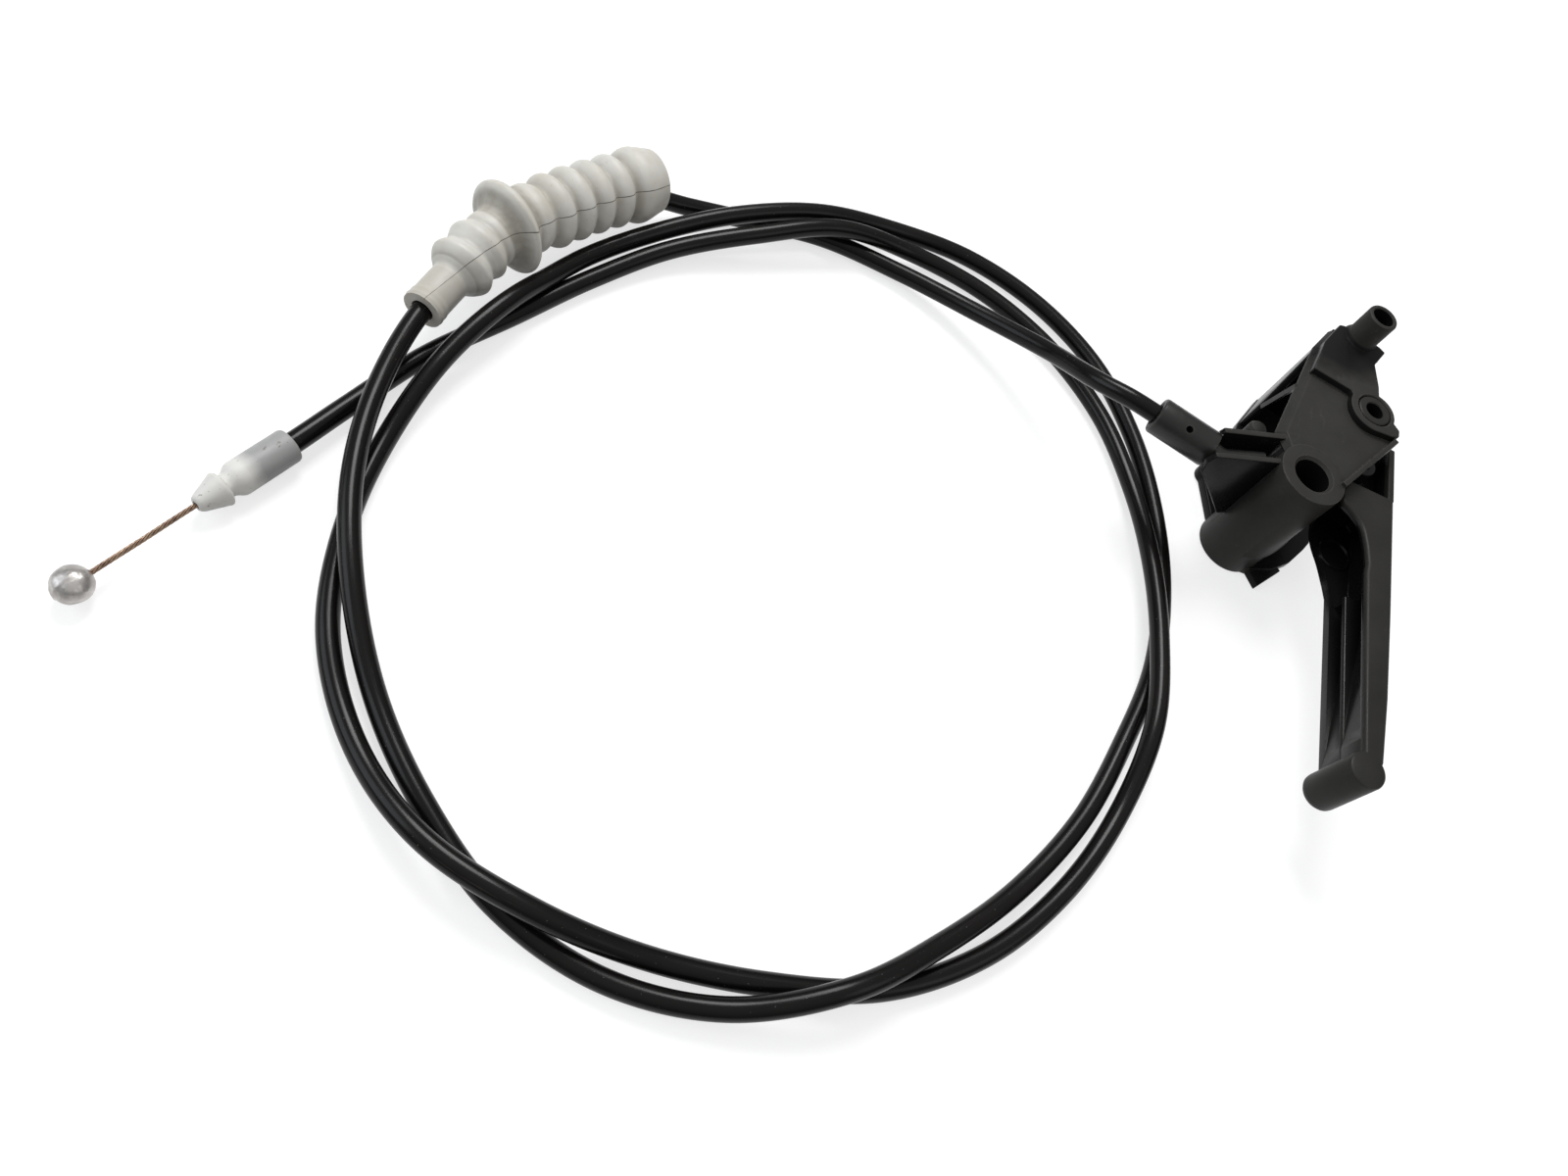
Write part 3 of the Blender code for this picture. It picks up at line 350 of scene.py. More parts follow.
def stands(points, radii):
    """For each point of a path, the matrix of a circle square to it."""
    out = []
    side = None
    for i, p in enumerate(points):
        way = (points[min(i + 1, len(points) - 1)] - points[max(i - 1, 0)]).normalized()
        if side is None:
            side = way.cross(Vector((0, 0, 1)))
            if side.length < 0.01:
                side = way.cross(Vector((1, 0, 0)))
        side = (side - way * side.dot(way)).normalized()
        up = side.cross(way)
        turn = Matrix((side, up, way)).transposed().to_4x4()
        out.append(Matrix.Translation(p) @ turn @ Matrix.Diagonal((radii[i], radii[i], 1, 1)))
    return out


def hose(places, angles, lengths, radii, closed=False):
    """Tube: a ring of vertices extruded from each place of a path to the next."""
    bm = bmesh.new()
    lay = bm.verts.layers.float_vector.new("lay")
    ring = [bm.verts.new((cos(a), sin(a), 0.0)) for a in angles]
    edges = [bm.edges.new((v, ring[(i + 1) % len(ring)])) for i, v in enumerate(ring)]
    first, now = edges, places[0]
    bmesh.ops.transform(bm, matrix=now, verts=ring)

    def note(verts, place, s, r):
        back = place.inverted()
        for v in verts:
            flat = back @ v.co
            v[lay] = (flat.x * r, flat.y * r, s)

    note(ring, now, lengths[0], radii[0])
    for place, s, r in zip(places[1:], lengths[1:], radii[1:]):
        made = bmesh.ops.extrude_edge_only(bm, edges=edges)["geom"]
        ring = [g for g in made if isinstance(g, bmesh.types.BMVert)]
        edges = [g for g in made if isinstance(g, bmesh.types.BMEdge)
                 and g.verts[0] in ring and g.verts[1] in ring]
        bmesh.ops.transform(bm, matrix=place @ now.inverted(), verts=ring)
        note(ring, place, s, r)
        now = place
    if closed:
        bmesh.ops.bridge_loops(bm, edges=first + edges)
    else:
        bmesh.ops.holes_fill(bm, edges=bm.edges, sides=0)
    bmesh.ops.recalc_face_normals(bm, faces=bm.faces)
    return bm


def pipe(points, radii, sides, lengths=None):
    """Round tube along the points, closed at both ends."""
    angles = [2 * pi * i / sides for i in range(sides)]
    return hose(stands(points, radii), angles, lengths or spread(0, 1, len(points)), radii)


def mesh_of(bm, name):
    mesh = bpy.data.meshes.new(name)
    bm.to_mesh(mesh)
    bm.free()
    return mesh


def added(name, data, group=None):
    """A new object in the group, or else in the scene."""
    obj = bpy.data.objects.new(name, data)
    (group or bpy.context.scene.collection).objects.link(obj)
    return obj


def moulded(name, base, unions=(), cuts=()):
    """One closed mesh: the base, joined with the unions and cut by the cutters."""
    work = [bpy.data.collections.new(name + tag) for tag in ("_base", "_joined", "_cut")]
    for group in work:
        bpy.context.scene.collection.children.link(group)
    body = added(name + "_work", mesh_of(base, name + "_work"), work[0])
    for group, parts, operation in ((work[1], unions, "UNION"), (work[2], cuts, "DIFFERENCE")):
        for i, part in enumerate(parts):
            added(f"{group.name}_{i}", mesh_of(part, f"{group.name}_{i}"), group)
        if parts:
            mod = body.modifiers.new(operation, "BOOLEAN")
            mod.operation = operation
            mod.solver = "EXACT"
            mod.operand_type = "COLLECTION"
            mod.collection = group
    bpy.context.view_layer.update()
    shape = body.evaluated_get(bpy.context.evaluated_depsgraph_get())
    bm = bmesh.new()
    bm.from_mesh(bpy.data.meshes.new_from_object(shape))
    for group in work:
        for obj in list(group.objects):
            bpy.data.objects.remove(obj, do_unlink=True)
        bpy.data.collections.remove(group)
    bmesh.ops.remove_doubles(bm, verts=bm.verts, dist=2e-6)
    bmesh.ops.dissolve_degenerate(bm, edges=bm.edges, dist=1e-6)
    return bm


def with_polish_and_shade(bm, how):
    """Give every face its value of polish and painted shade: how polished it is and how darkly it is
    painted for shade.
    """
    polish_and_shade = bm.faces.layers.float.new("polish_and_shade")
    for face in bm.faces:
        face[polish_and_shade] = how(face)
    return bm


def finished(obj, body, node):
    """A piece rides on its body and stands for its CAD node."""
    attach(obj, body)
    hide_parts(node)
    return obj


def piece(name, bm, material, body, node, crease=32):
    """A mesh piece at the origin, shaded smooth up to the crease angle."""
    obj = added(name, mesh_of(bm, name))
    obj.data.materials.clear()
    obj.data.materials.append(material)
    obj.data.shade_smooth()
    obj.data.set_sharp_from_angle(angle=radians(crease))
    return finished(obj, body, node)


# materials

# dark colour of painted shade, for hollows, bores, the pad's step, the webs' sides and round the spigot
PAINTED_SHADE_BLACK = (0.0058, 0.0054, 0.0055)


class Nodes:
    """A node tree, with short calls for its nodes."""

    def __init__(self, tree):
        self.tree = tree

    def node(self, kind, settings=None, **inputs):
        made = self.tree.nodes.new("ShaderNode" + kind)
        for key, value in (settings or {}).items():
            setattr(made, key, value)
        for key, value in inputs.items():
            socket = made.inputs[int(key[1:]) if key[1:].isdigit() else key.replace("_", " ")]
            if isinstance(value, bpy.types.NodeSocket):
                self.tree.links.new(value, socket)
            else:
                socket.default_value = value
        return made

    def here(self):
        return self.node("TexCoord").outputs["Object"]

    def painted(self, attribute, output="Fac"):
        return self.node("Attribute", {"attribute_name": attribute}).outputs[output]

    def axis(self, where, letter):
        return self.node("SeparateXYZ", Vector=where).outputs[letter]

    def noise(self, scale, attribute=None, detail=3.0, roughness=0.5):
        """Noise, scaled per axis and metre, in the object's own coordinates or an unbent tube's."""
        source = self.painted(attribute, "Vector") if attribute else self.here()
        where = self.node("Mapping", Vector=source, Scale=scale).outputs["Vector"]
        return self.node("TexNoise", Vector=where, Scale=1.0, Detail=detail,
                         Roughness=roughness).outputs["Fac"]

    def band(self, value, low, high, bottom=0.0, top=1.0):
        """The value stretched from low..high to bottom..top and held there."""
        return self.node("MapRange", {"clamp": True}, Value=value, From_Min=low, From_Max=high,
                         To_Min=bottom, To_Max=top).outputs["Result"]

    def math(self, operation, a, b=0.0):
        return self.node("Math", {"operation": operation}, i0=a, i1=b).outputs[0]

    def tint(self, share, a, b):
        """Colour a, or colour b where the share is 1."""
        made = self.node("Mix", {"data_type": "RGBA"})
        for socket, value in ((0, share), (6, a), (7, b)):
            if isinstance(value, bpy.types.NodeSocket):
                self.tree.links.new(value, made.inputs[socket])
            else:
                made.inputs[socket].default_value = value if socket == 0 else (*value, 1.0)
        return made.outputs[2]

    def bump(self, height, distance, strength=1.0, normal=None):
        made = self.node("Bump", Height=height, Distance=distance, Strength=strength)
        if normal:
            self.tree.links.new(normal, made.inputs["Normal"])
        return made.outputs["Normal"]

    def edges(self, radius, low, high):
        """About 1 along sharp outer and inner edges, 0 on open faces."""
        eased = self.node("Bevel", {"samples": 4}, Radius=radius).outputs["Normal"]
        true = self.node("NewGeometry").outputs["Normal"]
        dot = self.node("VectorMath", {"operation": "DOT_PRODUCT"}, i0=eased, i1=true)
        return self.band(self.math("SUBTRACT", 1.0, dot.outputs["Value"]), low, high)

    def blend(self, share, plain, other, output):
        """Send a mix of two shaders to the output, the other where the share is 1."""
        pick = self.node("MixShader", i0=share, i1=plain, i2=other).outputs[0]
        self.tree.links.new(pick, self.tree.nodes[output].inputs["Surface"])


class Finish(Nodes):
    """The node tree of one material."""

    def __init__(self, name, **sockets):
        self.material = bpy.data.materials.new(name)
        self.material.use_nodes = True
        super().__init__(self.material.node_tree)
        self.shader = self.tree.nodes["Principled BSDF"]
        for key, value in sockets.items():
            self.shader.inputs[key.replace("_", " ")].default_value = value

    def wire(self, **outputs):
        for key, value in outputs.items():
            self.tree.links.new(value, self.shader.inputs[key.replace("_", " ")])
        return self.material


def moulded_black(name, dark, pale, worn, rough, shine, wear=0.8, shade=None, fade=None):
    """Black plastic: grained fields, polished hollows darkened with painted shade, faint mottle, rubbed
    edges, scuffs.

    shade is the middle, inner and outer radius of a painted shade round the spigot, fade the stretch
    in y over which the polish and its painted shade lessen towards the lever's lower end.
    """
    f = Finish(name, IOR=1.5, Specular_IOR_Level=shine)
    mottle = f.noise((60, 60, 60), detail=5, roughness=0.6)
    colour = f.tint(f.band(mottle, 0.32, 0.68), dark, pale)
    scuff = f.noise((260, 90, 260), detail=8, roughness=0.75)
    scuffs = f.band(scuff, 0.60, 0.74)
    colour = f.tint(f.math("MULTIPLY", scuffs, 0.30), colour, worn)
    # painted shade: the faces marked for polish are also painted dark, standing for their shade
    smooth_and_shaded = f.painted("polish_and_shade")
    if fade:
        smooth_and_shaded = f.math("MULTIPLY", smooth_and_shaded, f.band(f.axis(f.here(), "Y"), *fade, 0.30, 1.0))
    stain_and_painted_shade = 0.0
    if shade:
        # painted shade: the pad is painted darker round the spigot, where it lies in shade
        spot, near, far = shade
        away = f.node("VectorMath", {"operation": "DISTANCE"}, i0=f.here(), i1=spot).outputs["Value"]
        cloud = f.math("ADD", away, f.band(mottle, 0.3, 0.7, -0.002, 0.002))
        low = f.band(f.axis(f.here(), "Z"), PAD_Z + 0.0006, PAD_Z + 0.0012, 1.0, 0.0)
        stain_and_painted_shade = f.math("MULTIPLY", f.band(cloud, near, far, 0.92, 0.0), low)
        colour = f.tint(stain_and_painted_shade, colour, PAINTED_SHADE_BLACK)
    colour = f.tint(smooth_and_shaded, colour, PAINTED_SHADE_BLACK)
    rub = f.noise((420, 420, 420), detail=4)
    rubbed = f.math("MULTIPLY", f.edges(0.0004, 0.01, 0.12), f.band(rub, 0.35, 0.65, 0.2 * wear, wear))
    polish_and_painted_shade = f.math("MAXIMUM", smooth_and_shaded, stain_and_painted_shade)
    colour = f.tint(f.math("MULTIPLY", rubbed, f.band(polish_and_painted_shade, 0.0, 1.0, 1.0, 0.25)), colour, worn)
    grain = f.noise((3400, 3400, 3400), detail=2)
    flow = f.noise((150, 150, 150), detail=3)
    grained = f.math("MULTIPLY", grain, f.band(smooth_and_shaded, 0.0, 1.0, 1.0, 0.1))
    normal = f.bump(grained, 0.00005, 0.35, f.bump(flow, 0.0003, 0.25))
    roughness = f.math("SUBTRACT", f.band(mottle, 0.3, 0.7, rough - 0.07, rough + 0.08),
                       f.math("MULTIPLY", smooth_and_shaded, 0.20))
    return f.wire(Base_Color=colour, Roughness=roughness, Normal=normal)


def sheath_black():
    """Glossy black extruded sheath: fine lines along it, rubbed places and specks of dust."""
    f = Finish("black_sheath", IOR=1.5, Specular_IOR_Level=0.16)
    lines = f.noise((1500, 1500, 16), "lay", detail=4, roughness=0.6)
    mottle = f.noise((120, 120, 40), "lay", detail=5, roughness=0.6)
    colour = f.tint(f.band(mottle, 0.3, 0.7), (0.0030, 0.0027, 0.0027), (0.0062, 0.0054, 0.0050))
    scrape = f.noise((900, 900, 45), "lay", detail=7, roughness=0.7)
    scrapes = f.band(scrape, 0.62, 0.72)
    colour = f.tint(f.math("MULTIPLY", scrapes, 0.35), colour, (0.040, 0.034, 0.031))
    dust = f.noise((2600, 2600, 2600), "lay", detail=1)
    colour = f.tint(f.band(dust, 0.76, 0.80, 0.0, 0.6), colour, (0.16, 0.15, 0.14))
    rough = f.math("ADD", f.band(lines, 0.3, 0.7, 0.16, 0.30), f.math("MULTIPLY", scrapes, 0.22))
    waves = f.noise((260, 260, 60), "lay", detail=2)
    normal = f.bump(lines, 0.00006, 0.5, f.bump(waves, 0.0002, 0.3))
    return f.wire(Base_Color=colour, Roughness=rough, Normal=normal)


def boot_rubber():
    """Pale translucent rubber: warm stains, darker and browner in the grooves, a dark moulding seam."""
    f = Finish("grey_rubber", IOR=1.42, Subsurface_Weight=0.18, Subsurface_Scale=0.0022)
    f.shader.inputs["Subsurface Radius"].default_value = (1.0, 0.8, 0.6)
    stain = f.noise((70, 70, 70), detail=5, roughness=0.6)
    colour = f.tint(f.band(stain, 0.35, 0.68), (0.56, 0.55, 0.515), (0.49, 0.465, 0.41))
    smear = f.noise((300, 300, 120), "lay", detail=5)
    # darker and browner towards the bottom of each groove, patchy along it
    grooves = f.band(f.painted("groove"), 0.25, 1.0, 0.0, 0.75)
    groove_darkening = f.math("MULTIPLY", grooves, f.band(smear, 0.2, 0.65, 0.45, 1.0))
    colour = f.tint(groove_darkening, colour, (0.23, 0.205, 0.165))
    along = f.axis(f.painted("lay", "Vector"), "Z")
    collar = f.band(along, COLLAR_LEN - 0.0010, COLLAR_LEN + 0.0010, 0.55, 0.0)
    colour = f.tint(collar, colour, (0.36, 0.335, 0.29))
    broken = f.noise((1, 1, 330), "lay", detail=3)
    line = f.math("MULTIPLY", f.band(f.painted("seam"), 0.35, 0.8), f.band(broken, 0.3, 0.5, 0.45, 0.95))
    colour = f.tint(line, colour, (0.055, 0.042, 0.030))
    speck = f.noise((1500, 1500, 1500), "lay", detail=2, roughness=0.6)
    colour = f.tint(f.band(speck, 0.70, 0.76, 0.0, 0.55), colour, (0.20, 0.16, 0.12))
    skin = f.noise((1400, 1400, 1400), "lay", detail=3)
    normal = f.bump(skin, 0.00008, 0.4, f.bump(smear, 0.0003, 0.25))
    rough = f.band(stain, 0.3, 0.7, 0.40, 0.58)
    return f.wire(Base_Color=colour, Roughness=rough, Normal=normal)


def milky_nylon():
    """Milky nylon end: the dark conduit shows through its rear, specks along it."""
    f = Finish("white_nylon", IOR=1.5, Subsurface_Weight=0.25, Subsurface_Scale=0.0018)
    f.shader.inputs["Subsurface Radius"].default_value = (1.0, 0.95, 0.85)
    along = f.axis(f.painted("lay", "Vector"), "Z")
    cloud = f.noise((260, 260, 120), "lay", detail=4)
    inside = f.math("ADD", along, f.band(cloud, 0.3, 0.7, -0.0006, 0.0006))
    filled = f.band(inside, END_SEAT - 0.0008, END_SEAT + 0.0026, 1.0, 0.0)
    colour = f.tint(f.band(cloud, 0.3, 0.7), (0.66, 0.65, 0.62), (0.58, 0.57, 0.54))
    colour = f.tint(f.math("MULTIPLY", filled, 0.80), colour, (0.22, 0.22, 0.225))
    speck = f.noise((1100, 1100, 700), "lay", detail=2, roughness=0.6)
    colour = f.tint(f.band(speck, 0.66, 0.72, 0.0, 0.7), colour, (0.13, 0.11, 0.09))
    skin = f.noise((900, 900, 400), "lay", detail=3)
    rough = f.band(skin, 0.3, 0.7, 0.42, 0.56)
    return f.wire(Base_Color=colour, Roughness=rough, Normal=f.bump(skin, 0.00008, 0.4))


def cast_metal():
    """Die-cast zinc: dull cloudy grey with pits, darker stains and rubbed bright spots."""
    f = Finish("cast_end", Metallic=1.0)
    cloud = f.noise((420, 420, 420), detail=5, roughness=0.6)
    colour = f.tint(f.band(cloud, 0.3, 0.7), (0.36, 0.34, 0.325), (0.55, 0.53, 0.51))
    pit = f.noise((1500, 1500, 1500), detail=4, roughness=0.65)
    colour = f.tint(f.band(pit, 0.64, 0.74, 0.0, 0.55), colour, (0.10, 0.085, 0.07))
    rough = f.band(cloud, 0.3, 0.7, 0.46, 0.32)
    normal = f.bump(pit, 0.00012, 0.5, f.bump(cloud, 0.0004, 0.35))
    return f.wire(Base_Color=colour, Roughness=rough, Normal=normal)


def strand_metal(name, clean, stain_and_painted_shade):
    """Drawn wire, stained in places, with fine draw lines."""
    f = Finish(name, Metallic=1.0)
    stain = f.noise((240, 240, 240), detail=5, roughness=0.65)
    colour = f.tint(f.band(stain, 0.38, 0.62), clean, stain_and_painted_shade)
    fine = f.noise((2600, 2600, 2600), detail=2)
    rough = f.band(stain, 0.3, 0.7, 0.26, 0.46)
    return f.wire(Base_Color=colour, Roughness=rough, Normal=f.bump(fine, 0.00003, 0.4))


# painted shade: shade= paints the bracket's pad darker round the spigot
BRACKET_BLACK = moulded_black("black_bracket", (0.0245, 0.0236, 0.0218), (0.0330, 0.0320, 0.0293),
                              (0.105, 0.099, 0.090), 0.46, 0.09,
                              shade=(level((-0.0105, 0.0255), PAD_Z), 0.0140, 0.0195))
# painted shade: fade lessens the lever's painted shade and polish towards its lower end
LEVER_BLACK = moulded_black("black_lever", (0.0140, 0.0134, 0.0120), (0.0210, 0.0201, 0.0180),
                            (0.055, 0.051, 0.044), 0.42, 0.17, 0.2,
                            fade=(PIVOT.y - 0.1000, PIVOT.y - 0.0720))
CAP_BLACK = moulded_black("black_cap", (0.0090, 0.0087, 0.0082), (0.0150, 0.0145, 0.0135),
                          (0.100, 0.095, 0.087), 0.34, 0.35)
SHEATH = sheath_black()
RUBBER = boot_rubber()
NYLON = milky_nylon()
CAST = cast_metal()
STEEL = strand_metal("bright_strand", (0.50, 0.48, 0.45), (0.28, 0.25, 0.22))
COPPERY = strand_metal("stained_strand", (0.34, 0.24, 0.17), (0.15, 0.095, 0.070))

# places shared by pieces
CAP_WAY = Vector((cos(radians(CAP_ANGLE)), sin(radians(CAP_ANGLE)), 0))
CAP_MOUTH = level(CAP, CORE_Z)
WIRE_WAY = level(in_channel(1, 0), 0) - level(in_channel(0, 0), 0)
REST_ALONG = -ARM_R * sin(radians(PULL_HALF_ANGLE))
WIRE_SEAT = in_channel(REST_ALONG, 0)
ROUTE_POINTS = ([CAP_MOUTH + CAP_WAY * (CAP_SEAT - FIT), CAP_MOUTH] + [placed(*p) for p in ROUTE])
END_WAY = (ROUTE_POINTS[-1] - ROUTE_POINTS[-2]).normalized()
END_REAR = ROUTE_POINTS[-1] - END_WAY * END_SEAT


# bracket

PLATE_LEFT = tenths((-266, -201), (-176, 177))
PLATE_CORNER = (-0.0130, 0.0272)
PLATE_TOP = tenths((-92, 279), (8, 256), (29, 244), (-3, 177), (12, 97))
PLATE_RIGHT = tenths((80, -33), (84, -68), (-58, -292), (-180, -340))
PAD_LEFT = tenths((-92, 278), (-121, 270), (-164, 176), (-192, 51), (-75, 35))
PAD_RIGHT = tenths((57, -66), (78, -56), (79, -33))
PAD_SIDE = tenths((11, 97), (-4, 177), (27, 243), (8, 255))
BACK_LOW = tenths((-180, -392), (-97, -383), (-30, -349), (23, -297), (64, -229), (81, -195),
                  (84, -80))
BACK_TOP = tenths((16, 240), (8, 254), (-130, 270), (-186, 133), (-205, 40))
BACK_END = (-0.0236, -0.0260)
TAB = tenths((-97, -380), (-65, -420), (3, -332), (-30, -300))
FLARE_FOOT = tenths((-158, -399), (-120, -393), (-88, -367), (-57, -332), (-30, -294), (-7, -255),
                    (21, -199), (-40, -190), (-110, -220), (-240, -310))


def plate_outline(chamfer=0.0):
    left = [(x + chamfer, y) for x, y in PLATE_LEFT]
    corner = (PLATE_CORNER[0] + chamfer / 2, PLATE_CORNER[1])
    return left + [corner] + PLATE_TOP + arc(0, 0, EAR_R, 78, -14, 12) + PLATE_RIGHT


def wall_solid(a, b, inward, profile, ease=FIT):
    """Upright wall from plan point a to b: (share along, height) points, then its thickness."""
    run = b - a
    face = [PIVOT + a + run * t + Vector((0, 0, z)) for t, z in profile]
    return drawn([face, [p + inward for p in face]], ease)


def flare_solid():
    ring = [radians(a) for a in (-95, -71, -45, -17, 5, 19, 31, 70, 110, 180)]
    top = [Vector((BOSS[0] + 0.0008 + FLARE_R * cos(a), BOSS[1] + 0.0003 + FLARE_R * sin(a), 0))
           for a in ring]
    foot = [Vector((x, y, 0)) for x, y in FLARE_FOOT]
    rings = []
    for share, z in ((0.0, FLARE_TOP), (0.04, 0.029), (0.1, 0.026), (0.17, 0.023), (0.26, 0.0197),
                     (0.40, 0.0157), (0.57, 0.0117), (0.78, 0.0092), (1.0, FLARE_LOW)):
        plan = [a.lerp(b, share) for a, b in zip(top, foot)]
        closed = smooth_line(plan + plan[:1], 5)[:-1]
        rings.append([placed(p.x, p.y, z) for p in closed])
    return drawn(rings, 0.0005)


def web_solids():
    boss = BOSS[0] * WEB_COS + BOSS[1] * WEB_SIN
    made = []
    for sign, out, stop in ((1, 0.0231, 0.0026), (-1, 0.0284, 0.0056)):
        inner, end = CHANNEL_W / 2, out - stop
        profile = [(0, DEPTH), (-WEB_NOSE, DEPTH - 0.0030), (0, DEPTH - WEB_NOSE_H),
                   (WEB_LEN, WEB_FOOT_Z), (end, WEB_FOOT_Z + 0.001), (end, DEPTH - 0.0006)]
        faces = [[level(in_channel(boss - out + t, sign * side), z) for t, z in profile]
                 for side in (inner, inner + WEB_T)]
        made.append(drawn(faces, 0.00035, 3))
    return made


def bracket_polish_and_shade(face):
    """How polished a face is and how dark its painted shade: the webs' sides, the pad's step and the back
    are polished and painted dark.
    """
    at = face.calc_center_median() - PIVOT
    across = (at.y + WIRE_OFF * WEB_COS) * WEB_COS - (at.x - WIRE_OFF * WEB_SIN) * WEB_SIN
    off_boss = hypot(at.x - BOSS[0], at.y - BOSS[1])
    steep = abs(face.normal.z) < 0.6
    in_webs = abs(across) < CHANNEL_W / 2 + WEB_T + 0.0002 and at.x < BOSS[0]
    if in_webs and off_boss > BOSS_R + 0.0004 and steep and at.z > WEB_FOOT_Z:
        return 1.0
    if steep and DEPTH + 0.0003 < at.z < PAD_Z - 0.0003 and hypot(at.x, at.y) < 0.03:
        return 0.8
    if at.z < FLARE_LOW and off_boss > BOSS_R + 0.0006:
        return 0.9
    if steep and at.z < DEPTH - 0.0030 and at.y > -0.0040:
        return 1.0
    off_spigot = hypot(at.x - SPIGOT[0], at.y - SPIGOT[1])
    if off_boss < BOSS_BORE_R + SEAM or off_spigot < SPIGOT_BORE_R + SEAM:
        return 1.0
    return 0.0


def build_bracket():
    base = drawn([[level(p, PLATE_BACK_Z) for p in plate_outline()],
                  [level(p, PLATE_BACK_Z + 0.0006) for p in plate_outline()],
                  [level(p, DEPTH) for p in plate_outline(CHAMFER)]], 0.00035, 3)
    pad = (PAD_LEFT + arc(0, 0, PAD_ARC_R, 160, 280, 14) + PAD_RIGHT
           + arc(0, 0, EAR_R - SEAM, -14, 78, 12) + PAD_SIDE)
    low, high = Vector(PLATE_RIGHT[2]), Vector(PLATE_RIGHT[1])
    side = Vector((low.y - high.y, high.x - low.x)).normalized()
    inner, outer = side * SEAM, side * RIM_W
    low = low + (low - high).normalized() * RIM_REACH
    rim = [tuple(p) for p in (low + inner, high + inner, high + outer, low + outer)]
    back = (BACK_LOW + arc(0, 0, EAR_R + 0.0008, -30, 70, 12) + BACK_TOP
            + arc(*POST, POST_R + 0.0008, 75, 235, 10) + [BACK_END])
    a, b = Vector((-0.0128, 0.0268, 0)), Vector((0.0025, 0.0242, 0))
    way = (b - a).normalized()
    corner, foot = Vector((-0.0129, 0.0267, 0)), Vector((-0.0184, 0.0130, 0))
    run = foot - corner
    strut = [placed(-0.0180, 0.0115, POST_H - 0.0030), placed(-0.0218, -0.0006, DEPTH - 0.0015)]
    strut_r = [STRUT_T * 0.5] * 2
    top = PAD_Z + SPIGOT_RISE
    unions = [
        prism(pad, DEPTH - 0.001, PAD_Z, 0.0004, 3),
        prism(rim, DEPTH - 0.0012, DEPTH + RIM_RISE, 0.0003),
        prism(back, 0.0, BACK_T, 0.0004, 3),
        prism(TAB, 0.0, BACK_T - 0.0010, 0.0002),
        wall_solid(a, b, Vector((way.y, -way.x, 0)) * WALL_T,
                   [(0, SEAM), (0, DEPTH - SEAM), (1, DEPTH - SEAM), (1, SEAM)]),
        wall_solid(corner, foot, Vector((-run.y, run.x, 0)).normalized() * WALL_T,
                   [(0, SEAM), (0, DEPTH - 0.0012), (0.14, DEPTH - 0.0012), (1, POST_H), (1, SEAM)]),
        pipe(strut, strut_r, 4),
        post(POST, [(POST_R, SEAM), (POST_R, POST_TOP - 0.0012), (POST_R * 0.8, POST_TOP - 0.0004),
                    (POST_R * 0.4, POST_TOP)], SMALL_SIDES),
        prism([(POST[0], POST[1] + STRUT_T / 2), (POST[0], POST[1] - STRUT_T / 2),
               (BOSS[0], POST[1] - 0.0105), (BOSS[0], POST[1] - 0.0082)], BACK_T - 0.0005,
              WEB_FOOT_Z + 0.0030),
        post(BOSS, [(BOSS_FOOT_R, 0.0), (BOSS_R, DEPTH - 0.004), (BOSS_R, DEPTH + 0.0002)], BOSS_SIDES,
             0.0004),
        flare_solid(),
        post(SPIGOT, [(SPIGOT_R, PLATE_BACK_Z), (SPIGOT_R, PAD_Z - 0.0006),
                      (SPIGOT_R + 0.0008, PAD_Z - 0.0005), (SPIGOT_R + 0.0003, PAD_Z + 0.0004),
                      (SPIGOT_R, PAD_Z + 0.0010), (SPIGOT_R, top - 0.0006),
                      (SPIGOT_R - 0.0002, top - 0.0002), (SPIGOT_R - 0.0006, top)], BORE_SIDES),
    ] + web_solids()
    groove = [level(in_channel(s, 0), CORE_Z) for s in (-0.0365, -0.0180)]
    groove_r = [WIRE_R * 2 + FIT * 2] * 2
    cuts = [
        post(BOSS, [(BOSS_BORE_R, -0.001), (BOSS_BORE_R, DEPTH - 0.0006),
                    (BOSS_BORE_R + 0.0004, DEPTH - 0.0002), (BOSS_BORE_R + 0.0012, DEPTH + 0.0006)],
             BORE_SIDES),
        pipe(groove, groove_r, 24),
        spun([(CAP_R + SEAM, -0.004), (CAP_R + SEAM, CAP_LEN + SEAM)], TURNED_SIDES, CAP_MOUTH,
             CAP_WAY),
        post(SPIGOT, [(SPIGOT_BORE_R, top - SPIGOT_BORE_DEPTH), (SPIGOT_BORE_R, top - 0.0004),
                      (SPIGOT_BORE_R + 0.0005, top + 0.0002)], SMALL_SIDES),
        post((0, 0), [(HUB_R + FIT, -0.001), (HUB_R + FIT, PAD_Z - 0.0003),
                      (HUB_R + FIT + 0.0004, PAD_Z + 0.0002)], BORE_SIDES),
    ]
    bm = with_polish_and_shade(moulded("bracket", base, unions, cuts), bracket_polish_and_shade)
    piece("bracket_moulding", bm, BRACKET_BLACK, "bracket", "bracket")


# lever

HEAD_NECK = tenths((29, -466), (6, -394), (-14, -345), (-22, -305), (-21, -262))
HEAD_SIDE = tenths((-16, -220), (-40, -140), (-56, -30))
FLANGE_NECK = tenths((41, -471), (31, -400), (17, -357), (-9, -329), (-39, -308), (-44, -268))


def curved(points, steps=4):
    """Plan points on a smooth curve through the given ones."""
    return [(p.x, p.y) for p in smooth_line([(x, y, 0) for x, y in points], steps)]


